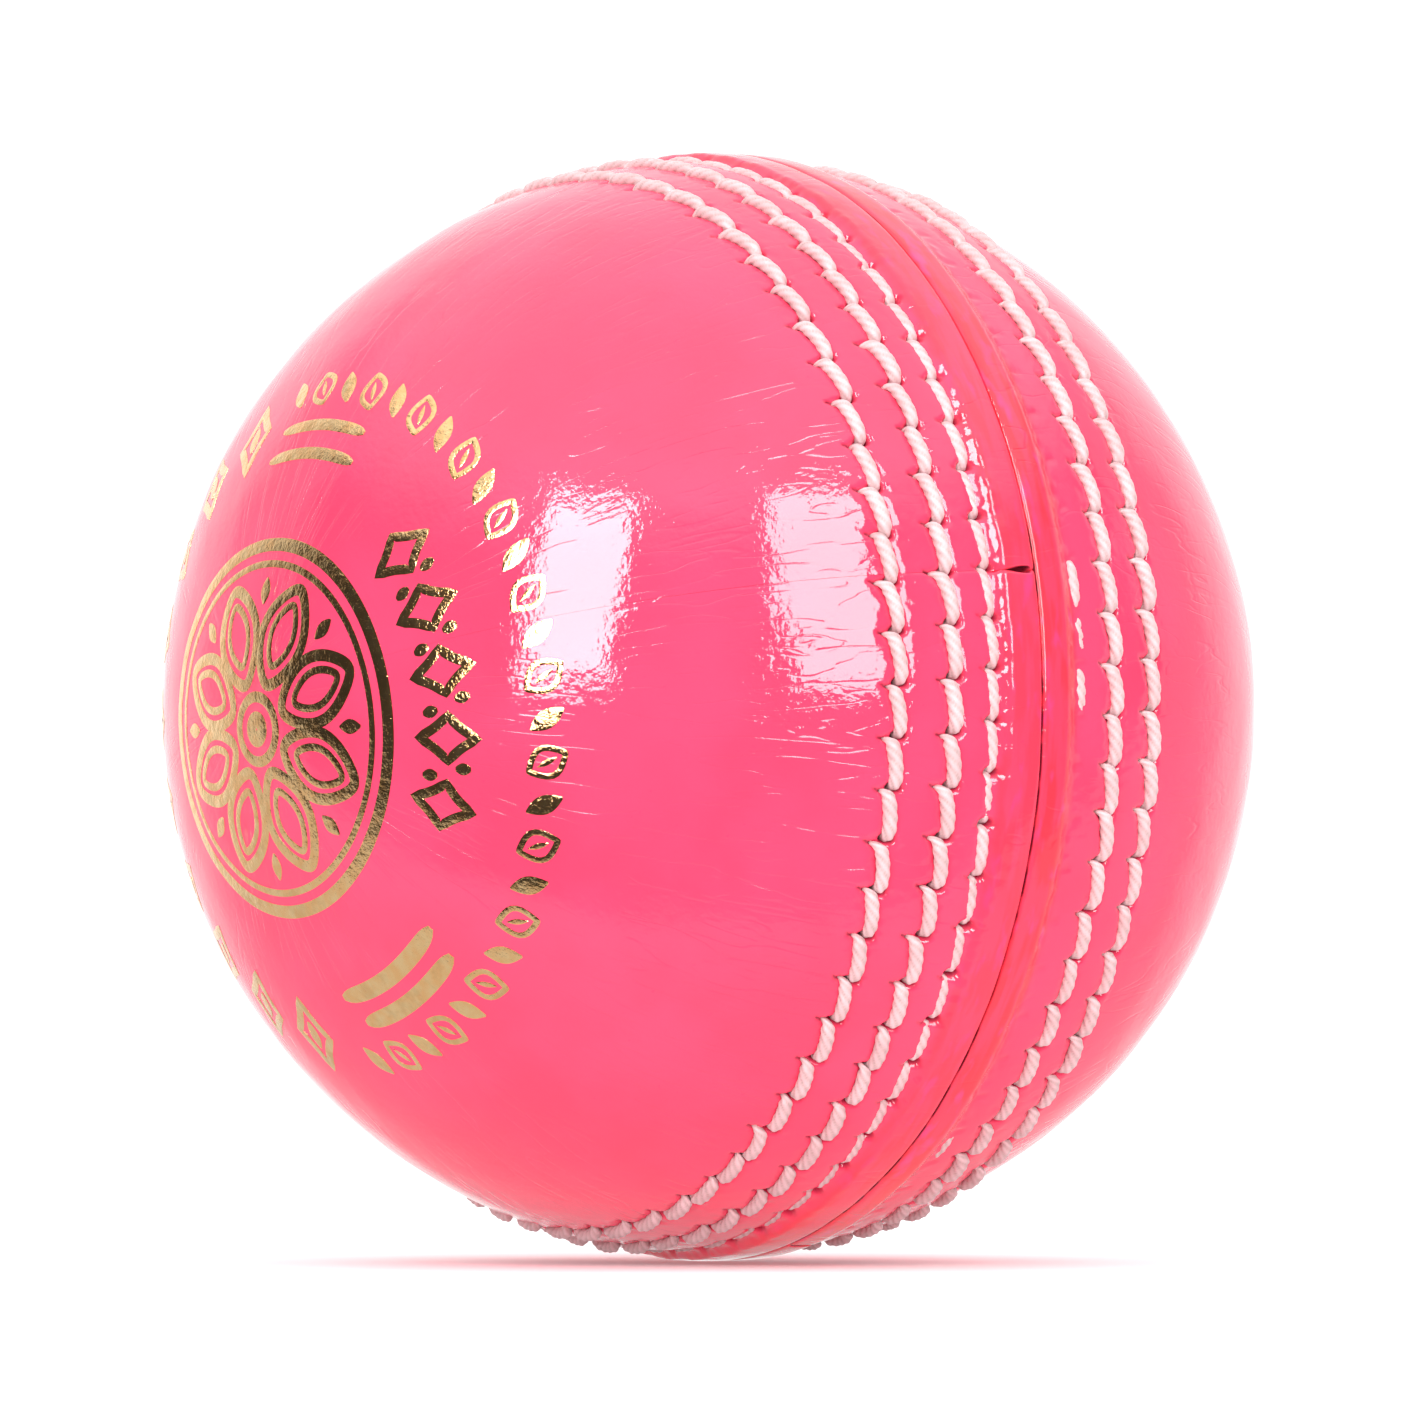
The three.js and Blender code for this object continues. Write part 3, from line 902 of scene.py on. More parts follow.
def column_places():
    """Places of the columns of a quarter, as mm at the join, closer together at both seams."""
    width = math.pi * COVER_RADIUS
    near = np.array([0.01, 0.06, 0.12, 0.19, 0.28, 0.40])
    middle = np.linspace(0.54, width - 0.54, COLUMNS - 2 * len(near))
    return np.concatenate([near, middle, width - near[::-1]])


def arc_places():
    """Places of the rings of a cup, as mm from the join: fine over the seam, then coarser."""
    lip_edge = JOIN_HALF_GAP + np.array([0, 0.03, 0.07, 0.12, 0.18, 0.26, 0.36, 0.48])
    seam_band = np.arange(0.68, 12.6, 0.155)
    dome = np.linspace(12.9, 55.9, 76)
    return np.concatenate([lip_edge, seam_band, dome])


def slit_shift(arcs, seam_gap):
    """How far a quarter's edge is pulled back where the seam gapes on the lip, in mm."""
    return SLIT_HALF_WIDTH * slit_window(arcs)[:, None] * np.exp(-seam_gap / SLIT_REACH)[None, :]


def inner_ring(side, latitude, start):
    """A ring of a quarter's inner face, with the channel for the sewing along both edges."""
    wall = math.asin(SEWING_CHANNEL_HALF_WIDTH / (SEWING_CHANNEL_RADIUS * math.cos(latitude)))
    step = 0.01 * wall
    turns = np.concatenate([
        [0, wall - step],
        np.linspace(wall + step, math.pi - wall - step, 81),
        [math.pi - wall + step, math.pi],
    ])
    radius = np.full(len(turns), LEATHER_INNER_RADIUS)
    radius[[0, 1, -2, -1]] = SEWING_CHANNEL_RADIUS
    arc = side * latitude * COVER_RADIUS
    ring = directions(np.full(len(turns), arc), start + turns) * radius[:, None]
    ring[:, 0] += side * JOIN_HALF_GAP
    return ring


def make_quarter(cup, half):
    """One quarter of the cover as a closed shell."""
    side = CUPS[cup]
    start = QUARTER_SEAM_LONGITUDE[cup] + math.pi * half
    places = column_places()
    seam_gap = np.minimum(places, math.pi * COVER_RADIUS - places)
    arcs = arc_places()
    turns = start + places / COVER_RADIUS
    height, shade = quarter_relief(cup, turns, arcs, seam_gap)
    pull = slit_shift(arcs, seam_gap) / COVER_RADIUS
    pull *= np.sign(math.pi / 2 * COVER_RADIUS - places)[None, :]
    lip_share = 1 - smoothstep(LIP_FOOT[cup] - 0.4, LIP_FOOT[cup] + 0.3, arcs)

    shell, lips = Shell(), []
    for i, arc in enumerate(arcs):
        step = next(every for limit, every in COLUMN_STEPS if arc < limit)
        pick = np.arange(0, len(places), step)
        unit = directions(np.full(len(pick), side * arc), turns[pick] + pull[i, pick])
        radius = COVER_RADIUS + height[i, pick]
        ring = unit * radius[:, None]
        if i == 0:
            ring[:, 0] = side * JOIN_HALF_GAP
        shell.add_ring(ring, shade[i, pick])
        lips += [lip_share[i]] * len(pick)
    pole = np.array([[side * 1.0, 0, 0]])
    shell.add_ring(pole * (COVER_RADIUS + dome_height(pole)[:, None]))
    shell.add_ring(pole * SEWING_CHANNEL_RADIUS)
    outer_count = len(arcs) + 1
    for latitude in np.radians(np.linspace(88, 0, 17)):
        shell.add_ring(inner_ring(side, latitude, start))
    lips += [0.0] * (len(shell.points) - len(lips))
    # The pit value holds painted shade: in the stitches' pits and folds, in the gaping slit and
    # along the join
    values = {"pit": shell.values, "lip": np.array(lips) * LIP_REDNESS[cup]}
    quarter = (shell.points, shell.faces(outer_count), values)
    cup_half = f"{cup}_{'ab'[half]}"
    new_piece(
        f"leather_{cup_half}", quarter, LEATHER, f"leather_quarter_{cup_half}", 60
    )


for cup_name in CUPS:
    for half_number in (0, 1):
        make_quarter(cup_name, half_number)


# ---------------------------------------------------------------- inside the cover

CORK_LAYERS = 5

# Grains as (width, height) and the step between the points of a half shell's mesh, in mm
CORK_GRAIN = (1.6, 0.05)
LINING_GRAIN = (1.2, 0.02)
CORE_GRAIN = (1.6, 0.07)
GRAIN_STEP = 1.0

# How far the core stays under its CAD solid, and its mould line as (height, width), in mm
CORE_CLEARANCE = 0.12
CORE_MOULD_LINE = (0.10, 0.35)

# Yarn: radius, length of one turn of its plies and step between its points, in mm; how many times
# it covers a layer, how often its plane swings round, and the cosine of that plane's least tilt
YARN_RADIUS = 0.42
YARN_TWIST = 40.0
YARN_STEP = 1.6
YARN_COVERAGE = 1.7
YARN_SWINGS = 7
YARN_TILT_COSINE = 0.93

# The hidden sewing: its stitches, its thread's radius, its ends (degrees round the cup), its height
# above the leather's inner face, how far it waves out and in and swings to both sides at every
# stitch, and the length of one turn of its plies; sizes in mm
SEWING_STITCHES = 30
SEWING_RADIUS = 0.38
SEWING_ENDS = (4, 176)
SEWING_STEPS = 330
SEWING_HEIGHT = 0.55
SEWING_WAVE = 0.12
SEWING_SWING = 0.22
SEWING_TWIST = 2.4

CORK_DARK = (0.42, 0.25, 0.12, 1)
CORK_LIGHT = (0.66, 0.46, 0.27, 1)
RUBBER = (0.10, 0.045, 0.03, 1)
CORE_CORK = (0.45, 0.28, 0.15, 1)
GRANULE_FLECK = (0.10, 0.05, 0.03, 1)
GRANULE_JOINT = (0.05, 0.03, 0.02, 1)
WOOL_GREY = (0.52, 0.46, 0.38, 1)
WOOL_PALE = (0.70, 0.64, 0.55, 1)
WOOL_DARK = (0.32, 0.27, 0.22, 1)
SUEDE_DEEP = (0.50, 0.33, 0.19, 1)
SUEDE_PALE = (0.62, 0.44, 0.28, 1)
SUEDE_DARK = (0.36, 0.22, 0.12, 1)


def granule_material(name, dark, light, size_mm, roughness, height_mm):
    """Ground cork or cork and rubber, pressed so that each granule shows."""
    material, tree = new_material(name)
    place = object_coordinates(tree)
    grid = {"Vector": place, "Scale": 1 / (size_mm * MM)}
    cells = add_node(tree, "ShaderNodeTexVoronoi", grid)
    edges = add_node(tree, "ShaderNodeTexVoronoi", grid, feature="DISTANCE_TO_EDGE")
    cell = add_node(tree, "ShaderNodeSeparateXYZ", {0: cells.outputs["Color"]}).outputs[0]
    joint = remap(tree, edges.outputs["Distance"], 0.0, 0.10, 1.0, 0.0)
    stain = times(tree, joint, 0.7)
    fleck = remap(tree, noise(tree, place, size_mm / 4, detail=3), 0.55, 0.75, 0.0, 0.5)
    colour = layers(tree, dark, (cell, light), (fleck, GRANULE_FLECK), (stain, GRANULE_JOINT))
    height = compute(tree, "SUBTRACT", times(tree, cell, 0.4), joint)
    height = plus(tree, height, noise(tree, place, size_mm / 5, detail=3))
    return finish(material, colour, {"Roughness": roughness}, times(tree, height, height_mm))


CORK = granule_material("cork", CORK_DARK, CORK_LIGHT, 1.6, 0.8, 0.12)
CORE = granule_material("core", RUBBER, CORE_CORK, 1.2, 0.65, 0.10)
YARN = fibrous_material(
    "yarn",
    slow=(4.0, 2, WOOL_GREY, WOOL_PALE),
    hair=(0.14, 4, 0.75),
    between=(0.4, 0.7, 0.5, WOOL_DARK),
    height_mm=0.10,
    values={"Roughness": 0.9, "Sheen Weight": 0.4},
)
LINING = fibrous_material(
    "lining",
    slow=(5.0, 3, SUEDE_DEEP, SUEDE_PALE),
    hair=(0.25, 4, 0.7),
    between=(0.4, 0.7, 0.45, SUEDE_DARK),
    height_mm=0.08,
    values={"Roughness": 0.85, "Sheen Weight": 0.3},
)


def node_span(node):
    """Corners of a CAD node's box, in mm."""
    low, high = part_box(node)
    return np.array(low) / MM, np.array(high) / MM


def half_axis(node):
    """Direction in which a half shell bulges, worked out from its box."""
    low, high = node_span(node)
    middle = (low + high) / 2
    axis = np.zeros(3)
    strongest = np.argmax(np.abs(middle))
    axis[strongest] = np.sign(middle[strongest])
    return axis


def grain(points, size, seed):
    """Uneven height of a pressed surface, in mm, with the width and height in size."""
    size_mm, height_mm = size
    coarse = smooth_field(points, size_mm * 2.5, seed)
    fine = smooth_field(points, size_mm, seed + 1)
    return height_mm * (0.6 * coarse + 0.5 * fine)


def half_shell_mesh(axis, inner, outer, split_gap, grain_size, seed):
    """Points and faces of a half shell with uneven faces, cut square to its axis."""
    aside = np.roll(axis, 1)
    along = np.cross(axis, aside)
    columns = int(FULL_TURN * outer / GRAIN_STEP)
    turns = np.arange(columns) / columns * FULL_TURN
    spokes = np.cos(turns)[:, None] * aside + np.sin(turns)[:, None] * along
    rows = int(math.pi / 2 * outer / GRAIN_STEP)
    polar_angles = np.linspace(math.pi / 2, 0, rows, endpoint=False)
    rings = []
    for radius, angles, sign in ((outer, polar_angles, -1), (inner, polar_angles[::-1], 1)):
        for angle in angles:
            unit = math.sin(angle) * spokes + math.cos(angle) * axis
            uneven = sign * np.abs(grain(unit * radius, grain_size, seed + sign))
            rings.append(unit * (radius + uneven)[:, None])
    points = np.concatenate(rings + [[axis * outer], [axis * inner]]) + axis * split_gap / 2
    outer_end, inner_end = rows * columns, (rows + 1) * columns
    faces = tube_faces(0, 2 * rows, columns, endless=True)
    del faces[outer_end - columns:outer_end]
    faces += fan(list(range(outer_end - columns, outer_end)), len(points) - 2)
    faces += fan(list(range(outer_end, inner_end))[::-1], len(points) - 1)
    return points, faces


def make_half_shell(name, node, inner, material, grain_size, seed):
    """A half shell that stands in for a CAD one, with the grain of its material."""
    low, high = node_span(node)
    axis = half_axis(node)
    facing_axis = int(np.argmax(np.abs(axis)))
    split_gap = 2 * min(abs(low[facing_axis]), abs(high[facing_axis]))
    outer = max(abs(low[facing_axis]), abs(high[facing_axis])) - split_gap / 2
    half_shell = half_shell_mesh(axis, inner, outer, split_gap, grain_size, seed)
    new_piece(name, half_shell, material, node, sharp_angle=50)


def make_yarn(layer, inner, outer):
    """One layer of yarn, wound round the ball in great circles whose plane keeps swinging."""
    middle = (inner + outer) / 2
    windings = int(YARN_COVERAGE * middle / YARN_RADIUS)
    count = int(windings * FULL_TURN * middle / YARN_STEP)
    share = np.arange(count) / count
    swing = FULL_TURN * YARN_SWINGS * share
    tilt = np.arccos(YARN_TILT_COSINE * np.sin(FULL_TURN * share))
    normal = np.stack([
        np.sin(tilt) * np.cos(swing), np.sin(tilt) * np.sin(swing), np.cos(tilt)
    ], axis=1)
    aside = np.stack([-np.sin(swing), np.cos(swing), np.zeros(count)], axis=1)
    along = np.cross(normal, aside)
    turn = FULL_TURN * windings * share
    rise = (outer - inner) / 2 - YARN_RADIUS
    reach = middle + rise * np.sin(turn * 1.5 + 2 * swing)
    points = (np.cos(turn)[:, None] * aside + np.sin(turn)[:, None] * along) * reach[:, None]
    radii = np.full(count, YARN_RADIUS)
    points, faces, _ = thread_mesh(points, radii, np.zeros(count), YARN_TWIST, around=6)
    new_piece(f"yarn_wound_{layer}", (points, faces), YARN, f"yarn_winding_{layer}")


def make_core(radius):
    """The moulded core, with the raised line where its mould closed."""
    rows, columns = 80, 150
    angles = np.linspace(0, math.pi, rows + 1)[1:-1]
    turns = np.arange(columns) / columns * FULL_TURN
    angle, turn = np.meshgrid(angles, turns, indexing="ij")
    unit = np.stack([
        np.sin(angle) * np.cos(turn), np.sin(angle) * np.sin(turn), np.cos(angle)
    ], axis=-1)
    pole = radius - CORE_CLEARANCE
    reach = pole - np.abs(grain(unit * radius, CORE_GRAIN, seed=60))
    reach += mark((angle - math.pi / 2) * radius, CORE_MOULD_LINE)
    points = list((unit * reach[..., None]).reshape(-1, 3))
    points += [np.array([0, 0, pole]), np.array([0, 0, -pole])]
    end = (rows - 1) * columns
    faces = tube_faces(0, rows - 1, columns, endless=False)[:-2]
    faces += fan(list(range(columns))[::-1], len(points) - 2)
    faces += fan(list(range(end - columns, end)), len(points) - 1)
    new_piece("core_ball", (points, faces), CORE, "core")


def make_quarter_sewing(cup):
    """The thread that holds the two quarters of a cup together, hidden on the inner face."""
    side = CUPS[cup]
    angle = np.radians(np.linspace(*SEWING_ENDS, SEWING_STEPS))
    swing = np.cos(np.linspace(0, SEWING_STITCHES * FULL_TURN, SEWING_STEPS))
    seam = QUARTER_SEAM_LONGITUDE[cup]
    near = directions(np.zeros(1), np.array([seam]))[0]
    across = directions(np.zeros(1), np.array([seam + math.pi / 2]))[0]
    out = np.cos(angle)[:, None] * near + np.sin(angle)[:, None] * np.array([side, 0.0, 0.0])
    reach = LEATHER_INNER_RADIUS + SEWING_HEIGHT + SEWING_WAVE * swing
    points = out * reach[:, None] + (SEWING_SWING * swing)[:, None] * across
    radii = np.full(SEWING_STEPS, SEWING_RADIUS)
    sewing = thread_mesh(points, radii, np.zeros(SEWING_STEPS), SEWING_TWIST, endless=False)
    new_piece(f"sewing_{cup}", sewing, THREAD, f"quarter_seam_thread_{cup}", 60)


def make_inside():
    """Everything under the cover, from the core outwards."""
    core_radius = node_span("core")[1][0]
    make_core(core_radius)
    for layer in range(1, CORK_LAYERS + 1):
        axis = int(np.argmax(np.abs(half_axis(f"cork_layer_{layer}_half_a"))))
        yarn_outer = node_span(f"yarn_winding_{layer}")[1][0]
        below = f"yarn_winding_{layer - 1}" if layer > 1 else "core"
        cork_inner = node_span(below)[1][0] + LAYER_GAP
        cork_outer = abs(node_span(f"cork_layer_{layer}_half_a")[0][(axis + 1) % 3])
        for half in "ab":
            node = f"cork_layer_{layer}_half_{half}"
            name = f"cork_{layer}_{half}"
            make_half_shell(name, node, cork_inner, CORK, CORK_GRAIN, layer * 5)
        make_yarn(layer, cork_outer + LAYER_GAP, yarn_outer)
    lining_inner = LINING_RADIUS - LINING_THICKNESS
    for cup in CUPS:
        name, node = f"suede_{cup}", f"cup_lining_{cup}"
        make_half_shell(name, node, lining_inner, LINING, LINING_GRAIN, 90)
        make_quarter_sewing(cup)


make_inside()


# ---------------------------------------------------------------- foil stamped on one cup

# The stamp is laid out flat, in mm from its middle, and wrapped over the cup. Its middle lies a
# little below the pole. A turn of 0 is towards -Y and a quarter turn is up.
STAMP_TILT = math.radians(3)
FOIL_FLOOR = 0.004
FOIL_THICKNESS = 0.028
FOIL_ACROSS = 5

RING_RADIUS = 23.5
RING_MARK_PITCH = 2.75
RING_MARK_LENGTH = 2.7
RING_MARK_LEAN = 0.55
LARGE_MARK_RADIUS = 21.8
LARGE_MARK_TURNS = np.radians(np.arange(-102, -262, -16.0))
BAR_TURNS = {"upper": math.radians(88), "lower": math.radians(-66)}
BAR_RADII = (18.5, 20.6)
BAR_HALF_SPAN = {"upper": math.radians(15.5), "lower": math.radians(18.5)}
BAR_HALF_WIDTH = {"upper": 0.43, "lower": 0.62}
CENTRE_MARK_TURNS = np.radians([43, 27.5, 12, -3.5, -19])
CENTRE_MARK_RADIUS = 16.6
ROSETTE_RINGS = ((12.1, 0.45), (10.8, 0.24))
PETALS = 8


def stamp_directions(flat):
    """Directions on the ball of flat places on the stamp, given in mm from its middle."""
    turn = np.arctan2(flat[..., 1], flat[..., 0])
    angle = np.hypot(flat[..., 0], flat[..., 1]) / COVER_RADIUS
    towards_pole = np.cos(angle)
    aside = np.sin(angle) * np.cos(turn)
    up = np.sin(angle) * np.sin(turn)
    cos_tilt, sin_tilt = math.cos(STAMP_TILT), math.sin(STAMP_TILT)
    return np.stack([
        -(towards_pole * cos_tilt + up * sin_tilt),
        -aside,
        up * cos_tilt - towards_pole * sin_tilt,
    ], axis=-1)


class Foil:
    """Strokes of foil gathered into one piece."""

    def __init__(self):
        self.points = []
        self.faces = []

    def stroke(self, line, half_width, closed=False):
        """A thin closed ribbon along a flat line, with a half width for each of its points."""
        line = np.asarray(line, dtype=float)
        half_width = np.broadcast_to(half_width, len(line))
        if closed:
            ahead = np.roll(line, -1, axis=0) - np.roll(line, 1, axis=0)
        else:
            ahead = np.gradient(line, axis=0)
        ahead /= np.linalg.norm(ahead, axis=1, keepdims=True)
        side = np.stack([-ahead[:, 1], ahead[:, 0]], axis=1)
        shares = np.linspace(-1, 1, FOIL_ACROSS)
        flat = line[:, None] + (shares[None, :] * half_width[:, None])[..., None] * side[:, None]
        unit = stamp_directions(flat)
        floor = COVER_RADIUS + dome_height(unit) + FOIL_FLOOR
        edge = 1 - 0.6 * shares**4
        top = floor + FOIL_THICKNESS * edge[None, :]
        section = np.concatenate(
            [unit * top[..., None], (unit * floor[..., None])[:, ::-1]], axis=1
        )
        self.faces += tube_faces(len(self.points), len(line), 2 * FOIL_ACROSS, closed)
        self.points.extend(section.reshape(-1, 3))

    def finish(self, name):
        """Makes the piece."""
        new_piece(name, (self.points, self.faces), FOIL, sharp_angle=50)


def polar(radius, turn):
    """Flat place at a distance and a turn from the stamp's middle."""
    return np.stack([radius * np.cos(turn), radius * np.sin(turn)], axis=-1)


def placed(shape, radius, turn, lean=0.0):
    """A flat shape moved out to a place on the stamp, its second axis pointing outwards."""
    angle = turn - math.pi / 2 + lean
    cos_angle, sin_angle = math.cos(angle), math.sin(angle)
    spun = shape @ np.array([[cos_angle, sin_angle], [-sin_angle, cos_angle]])
    return spun + polar(radius, turn)


def leaf_outline(length, width, count=26, point=0.0):
    """A closed leaf, standing along the second axis, with its ends rounder or more of a point."""
    turn = np.arange(count) / count * FULL_TURN
    along = np.cos(turn)
    across = np.sin(turn) * np.abs(np.sin(turn)) ** point * (1 - 0.35 * along**2)
    return np.stack([width / 2 * across, length / 2 * along], axis=-1)


def straight(start, end, count=8):
    """A straight flat line."""
    return np.linspace(start, end, count)


def rounded_ends(count, half_width):
    """Half widths of a stroke with round ends."""
    share = np.linspace(-1, 1, count)
    return half_width * np.maximum(0.12, (1 - share**8)) ** 0.5


def tapered(count, end):
    """Shares of a stroke's half width that swell from one end to the other and back."""
    return np.sin(np.linspace(end, math.pi - end, count))


def make_ring_marks():
    """A ring of small pointed leaves, by turns filled and open with a vein, as in a wreath."""
    foil = Foil()
    count = round(FULL_TURN * RING_RADIUS * 0.93 / RING_MARK_PITCH)
    first, last = LARGE_MARK_TURNS[0] + 0.14, LARGE_MARK_TURNS[-1] + FULL_TURN - 0.14
    line = straight((0, -RING_MARK_LENGTH / 2), (0, RING_MARK_LENGTH / 2), 14)
    taper = tapered(14, 0.12)
    outline = leaf_outline(RING_MARK_LENGTH + 0.1, 2.0, point=0.7)
    for i in range(count):
        turn = -math.pi / 2 + (i + 0.5) / count * FULL_TURN
        if not first < turn < last:
            continue
        spot = (RING_RADIUS, turn, RING_MARK_LEAN)
        if i % 2 == 0:
            foil.stroke(placed(line, *spot), 0.66 * taper)
        else:
            foil.stroke(placed(outline, *spot), 0.21, closed=True)
            foil.stroke(placed(line * 0.55, *spot), 0.20 * taper)
    foil.finish("foil_wreath")


def diamond_outline(height, width, count=7):
    """A closed diamond with slightly hollow sides."""
    corners = np.array([[0, height / 2], [width / 2, 0], [0, -height / 2], [-width / 2, 0]])
    sides = []
    for corner, following in zip(corners, np.roll(corners, -1, axis=0)):
        share = np.linspace(0, 1, count, endpoint=False)[:, None]
        sides.append((corner + (following - corner) * share) * (1 - 0.10 * np.sin(math.pi * share)))
    return np.concatenate(sides)


def make_large_marks():
    """A row of larger diamonds round the far side of the stamp."""
    foil = Foil()
    diamond, core = diamond_outline(5.6, 3.6), straight((0, -1.1), (0, 1.1), 9)
    for turn in LARGE_MARK_TURNS:
        foil.stroke(placed(diamond, LARGE_MARK_RADIUS, turn), 0.36, closed=True)
        foil.stroke(placed(core, LARGE_MARK_RADIUS, turn), 0.55 * tapered(9, 0.2))
    foil.finish("foil_large_diamonds")


def make_bars():
    """Two pairs of curved bars."""
    foil = Foil()
    for name, middle in BAR_TURNS.items():
        for i, radius in enumerate(BAR_RADII):
            span = BAR_HALF_SPAN[name] * (1 - 0.12 * i)
            turns = np.linspace(middle - span, middle + span, 26)
            foil.stroke(polar(radius, turns), rounded_ends(26, BAR_HALF_WIDTH[name]))
    foil.finish("foil_bars")


def make_centre_marks():
    """A curved row of diamonds with a pair of short slanted strokes between each two."""
    foil = Foil()
    for turn in CENTRE_MARK_TURNS:
        foil.stroke(placed(diamond_outline(4.3, 3.0), CENTRE_MARK_RADIUS, turn), 0.34, closed=True)
    between = (CENTRE_MARK_TURNS[1:] + CENTRE_MARK_TURNS[:-1]) / 2
    for turn in between:
        for place in (-1.25, 1.25):
            line = straight((-0.1, place - 0.55), (0.1, place + 0.55), 7)
            foil.stroke(placed(line, CENTRE_MARK_RADIUS, turn, lean=0.3), 0.42 * tapered(7, 0.35))
    foil.finish("foil_centre_row")


def make_rosette():
    """A rosette of petals inside two rings."""
    foil = Foil()
    for radius, half_width in ROSETTE_RINGS:
        turns = np.arange(150) / 150 * FULL_TURN
        foil.stroke(polar(radius, turns), half_width, closed=True)
    for i in range(PETALS):
        turn = (i + 0.5) / PETALS * FULL_TURN
        foil.stroke(placed(leaf_outline(6.6, 4.3, 44), 6.4, turn), 0.40, closed=True)
        foil.stroke(placed(leaf_outline(4.2, 2.3, 36), 6.5, turn), 0.26, closed=True)
        tip = i / PETALS * FULL_TURN
        line = straight((0, -0.9), (0, 0.9), 9)
        foil.stroke(placed(line, 9.0, tip), 0.5 * tapered(9, 0.15))
    turns = np.arange(40) / 40 * FULL_TURN
    foil.stroke(polar(2.1, turns), 0.36, closed=True)
    foil.stroke(polar(0.62, turns), 0.55, closed=True)
    foil.finish("foil_rosette")


make_ring_marks()
make_large_marks()
make_bars()
make_centre_marks()
make_rosette()


# ---------------------------------------------------------------- stage, light and camera

CAMERA_AZIMUTH = math.radians(-36)
CAMERA_ELEVATION = math.radians(-1.2)
CAMERA_DISTANCE = 0.9
BALL_SHARE_OF_FRAME = 0.7706
SENSOR_WIDTH = 36.0

WHITE = (1, 1, 1, 1)
FLOOR_DEEP = (0.88, 0.88, 0.88, 1)
FLOOR_PALE = (0.90, 0.90, 0.90, 1)
FLOOR_REACH = 6.0
FLOOR_GAP = 0.0002
FLOOR_GLOW = 0.14

# Each softbox has a place (shares rightwards, upwards and towards the camera), half angles across
# and upwards (degrees), a radiance, and whether it is only mirrored or only lights
SOFTBOX_DISTANCE = 2.0
SOFTBOXES = {
    "left_softbox": ((-0.458, 0.403, 0.792), (9.5, 19.5), 18.0, True),
    "right_softbox": ((0.419, 0.398, 0.816), (11, 21), 13.5, True),
    "front_fill": ((0.0, 0.3, 0.95), (25, 20), 3.45, False),
}

BACK = Vector((
    math.sin(CAMERA_AZIMUTH) * math.cos(CAMERA_ELEVATION),
    -math.cos(CAMERA_AZIMUTH) * math.cos(CAMERA_ELEVATION),
    math.sin(CAMERA_ELEVATION),
))
RIGHT = Vector((math.cos(CAMERA_AZIMUTH), math.sin(CAMERA_AZIMUTH), 0))
UP = BACK.cross(RIGHT)


def looking_at_ball(place):
    """An upright placing that points an object's -Z axis at the ball's middle."""
    back = place.normalized()
    right = Vector((0, 0, 1)).cross(back).normalized()
    turn = Matrix((right, back.cross(right), back)).transposed().to_4x4()
    return Matrix.Translation(place) @ turn


def make_camera():
    """A long lens, level with the ball."""
    camera = bpy.data.cameras.new("camera")
    camera.sensor_width = SENSOR_WIDTH
    radius = COVER_RADIUS * MM
    spread = radius / math.sqrt(CAMERA_DISTANCE**2 - radius**2)
    camera.lens = SENSOR_WIDTH * BALL_SHARE_OF_FRAME / 2 / spread
    made = add_object("camera", camera)
    made.matrix_world = looking_at_ball(BACK * CAMERA_DISTANCE)
    bpy.context.scene.camera = made


def make_floor():
    """A wide pale floor under the ball."""
    mesh = bpy.data.meshes.new("floor")
    corners = [(-1, -1), (1, -1), (1, 1), (-1, 1)]
    level = cad_low.z - FLOOR_GAP
    corners = [(FLOOR_REACH * x, FLOOR_REACH * y, level) for x, y in corners]
    mesh.from_pydata(corners, [], [(0, 1, 2, 3)])
    material, tree = new_material("floor")
    colour = tone(tree, 60.0, 2, FLOOR_DEEP, FLOOR_PALE)
    mesh.materials.append(finish(material, colour, {
        "Roughness": 0.9,
        "Emission Color": WHITE,
        "Emission Strength": FLOOR_GLOW,
    }))
    floor = add_object("floor", mesh)
    floor.visible_glossy = False


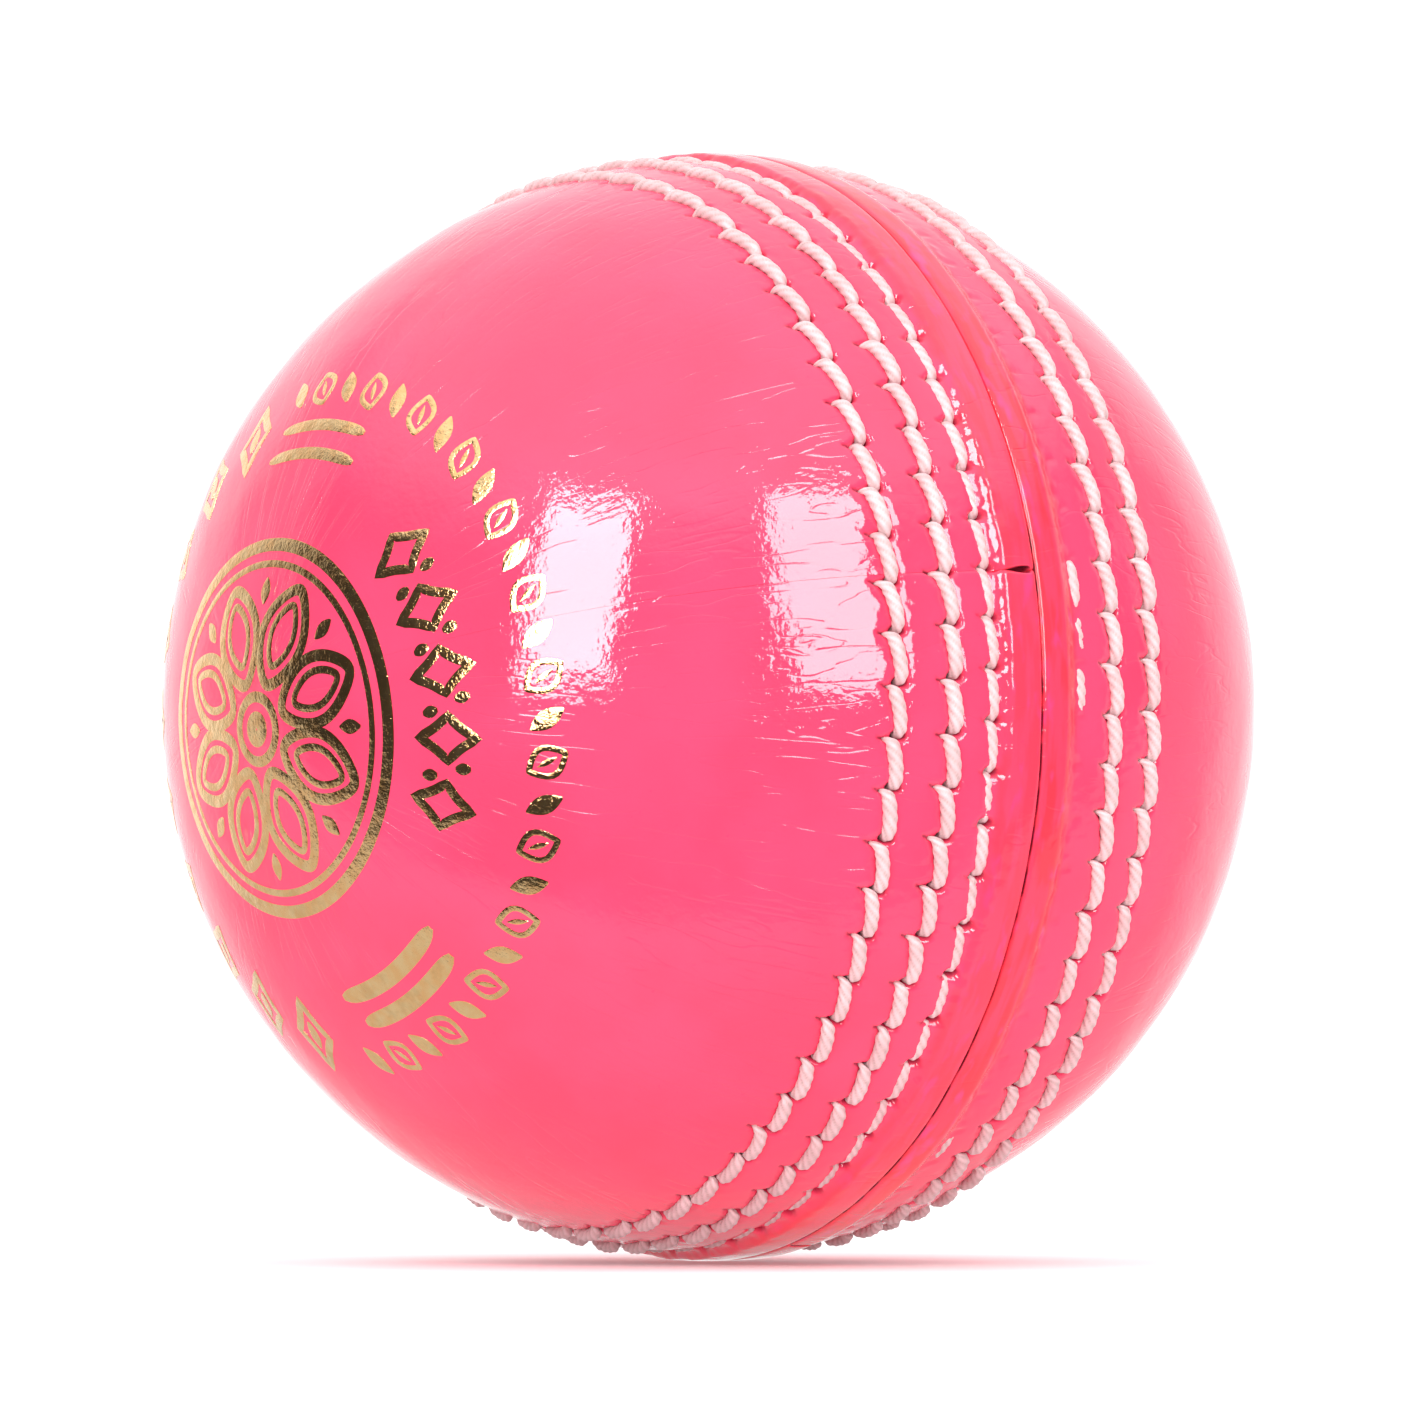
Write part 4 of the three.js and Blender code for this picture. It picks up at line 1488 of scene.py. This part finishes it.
def make_softbox(name, place, half_angles, radiance, mirrored):
    """A rectangular light that faces the ball."""
    heading = sum((axis * share for axis, share in zip((RIGHT, UP, BACK), place)), Vector())
    width, height = (2 * SOFTBOX_DISTANCE * math.tan(math.radians(half)) for half in half_angles)
    light = bpy.data.lights.new(name, "AREA")
    light.shape = "RECTANGLE"
    light.size = width
    light.size_y = height
    light.energy = radiance * width * height * math.pi
    made = add_object(name, light)
    made.visible_diffuse = not mirrored
    made.visible_glossy = mirrored
    made.matrix_world = looking_at_ball(heading.normalized() * SOFTBOX_DISTANCE)


def make_world():
    """White surroundings, darker round the camera as where a photographer stands.

    The ball mirrors a backdrop, an overhead light and a table that are darker than its light."""
    world = bpy.data.worlds.new("studio")
    bpy.context.scene.world = world
    world.use_nodes = True
    tree = world.node_tree
    background = tree.nodes["Background"]
    heading = add_node(tree, "ShaderNodeTexCoord").outputs["Generated"]
    toward = add_node(
        tree, "ShaderNodeVectorMath", {0: heading, 1: tuple(BACK)}, operation="DOT_PRODUCT"
    ).outputs["Value"]
    raised = add_node(tree, "ShaderNodeSeparateXYZ", {0: heading}).outputs[2]
    backdrop = remap(tree, toward, -0.40, -0.78)
    overhead = remap(tree, raised, 0.40, 0.80)
    horizon = remap(tree, raised, 0.28, 0.0)
    soft = remap(tree, backdrop, 0, 1, 0.3, 1.2)
    soft = compute(tree, "MAXIMUM", soft, remap(tree, overhead, 0, 1, 0.3, 1.9))
    soft = compute(tree, "MAXIMUM", soft, remap(tree, horizon, 0, 1, 0.3, 0.9))
    sunken = compute(tree, "MINIMUM", raised, 0.0)
    edge = plus(tree, toward, times(tree, sunken, 1.4))
    table = remap(tree, edge, -0.22, -0.36, 0.04, 0.66)
    wall = times(tree, backdrop, remap(tree, raised, -0.45, 0.0, 0.6, 1.2))
    sharp = compute(tree, "MAXIMUM", wall, remap(tree, overhead, 0, 1, 0.04, 1.3))
    sharp = compute(tree, "MAXIMUM", sharp, table)
    mirrored = add_node(tree, "ShaderNodeLightPath").outputs["Is Glossy Ray"]
    light = add_node(tree, "ShaderNodeMix", {0: mirrored, 2: soft, 3: sharp}).outputs[0]
    tree.links.new(light, background.inputs["Strength"])
    background.inputs["Color"].default_value = WHITE


make_camera()
make_floor()
for softbox_name, softbox in SOFTBOXES.items():
    make_softbox(softbox_name, *softbox)
make_world()

settings = bpy.context.scene.view_settings
settings.view_transform = "Standard"
settings.look = "None"
settings.exposure = 0.0
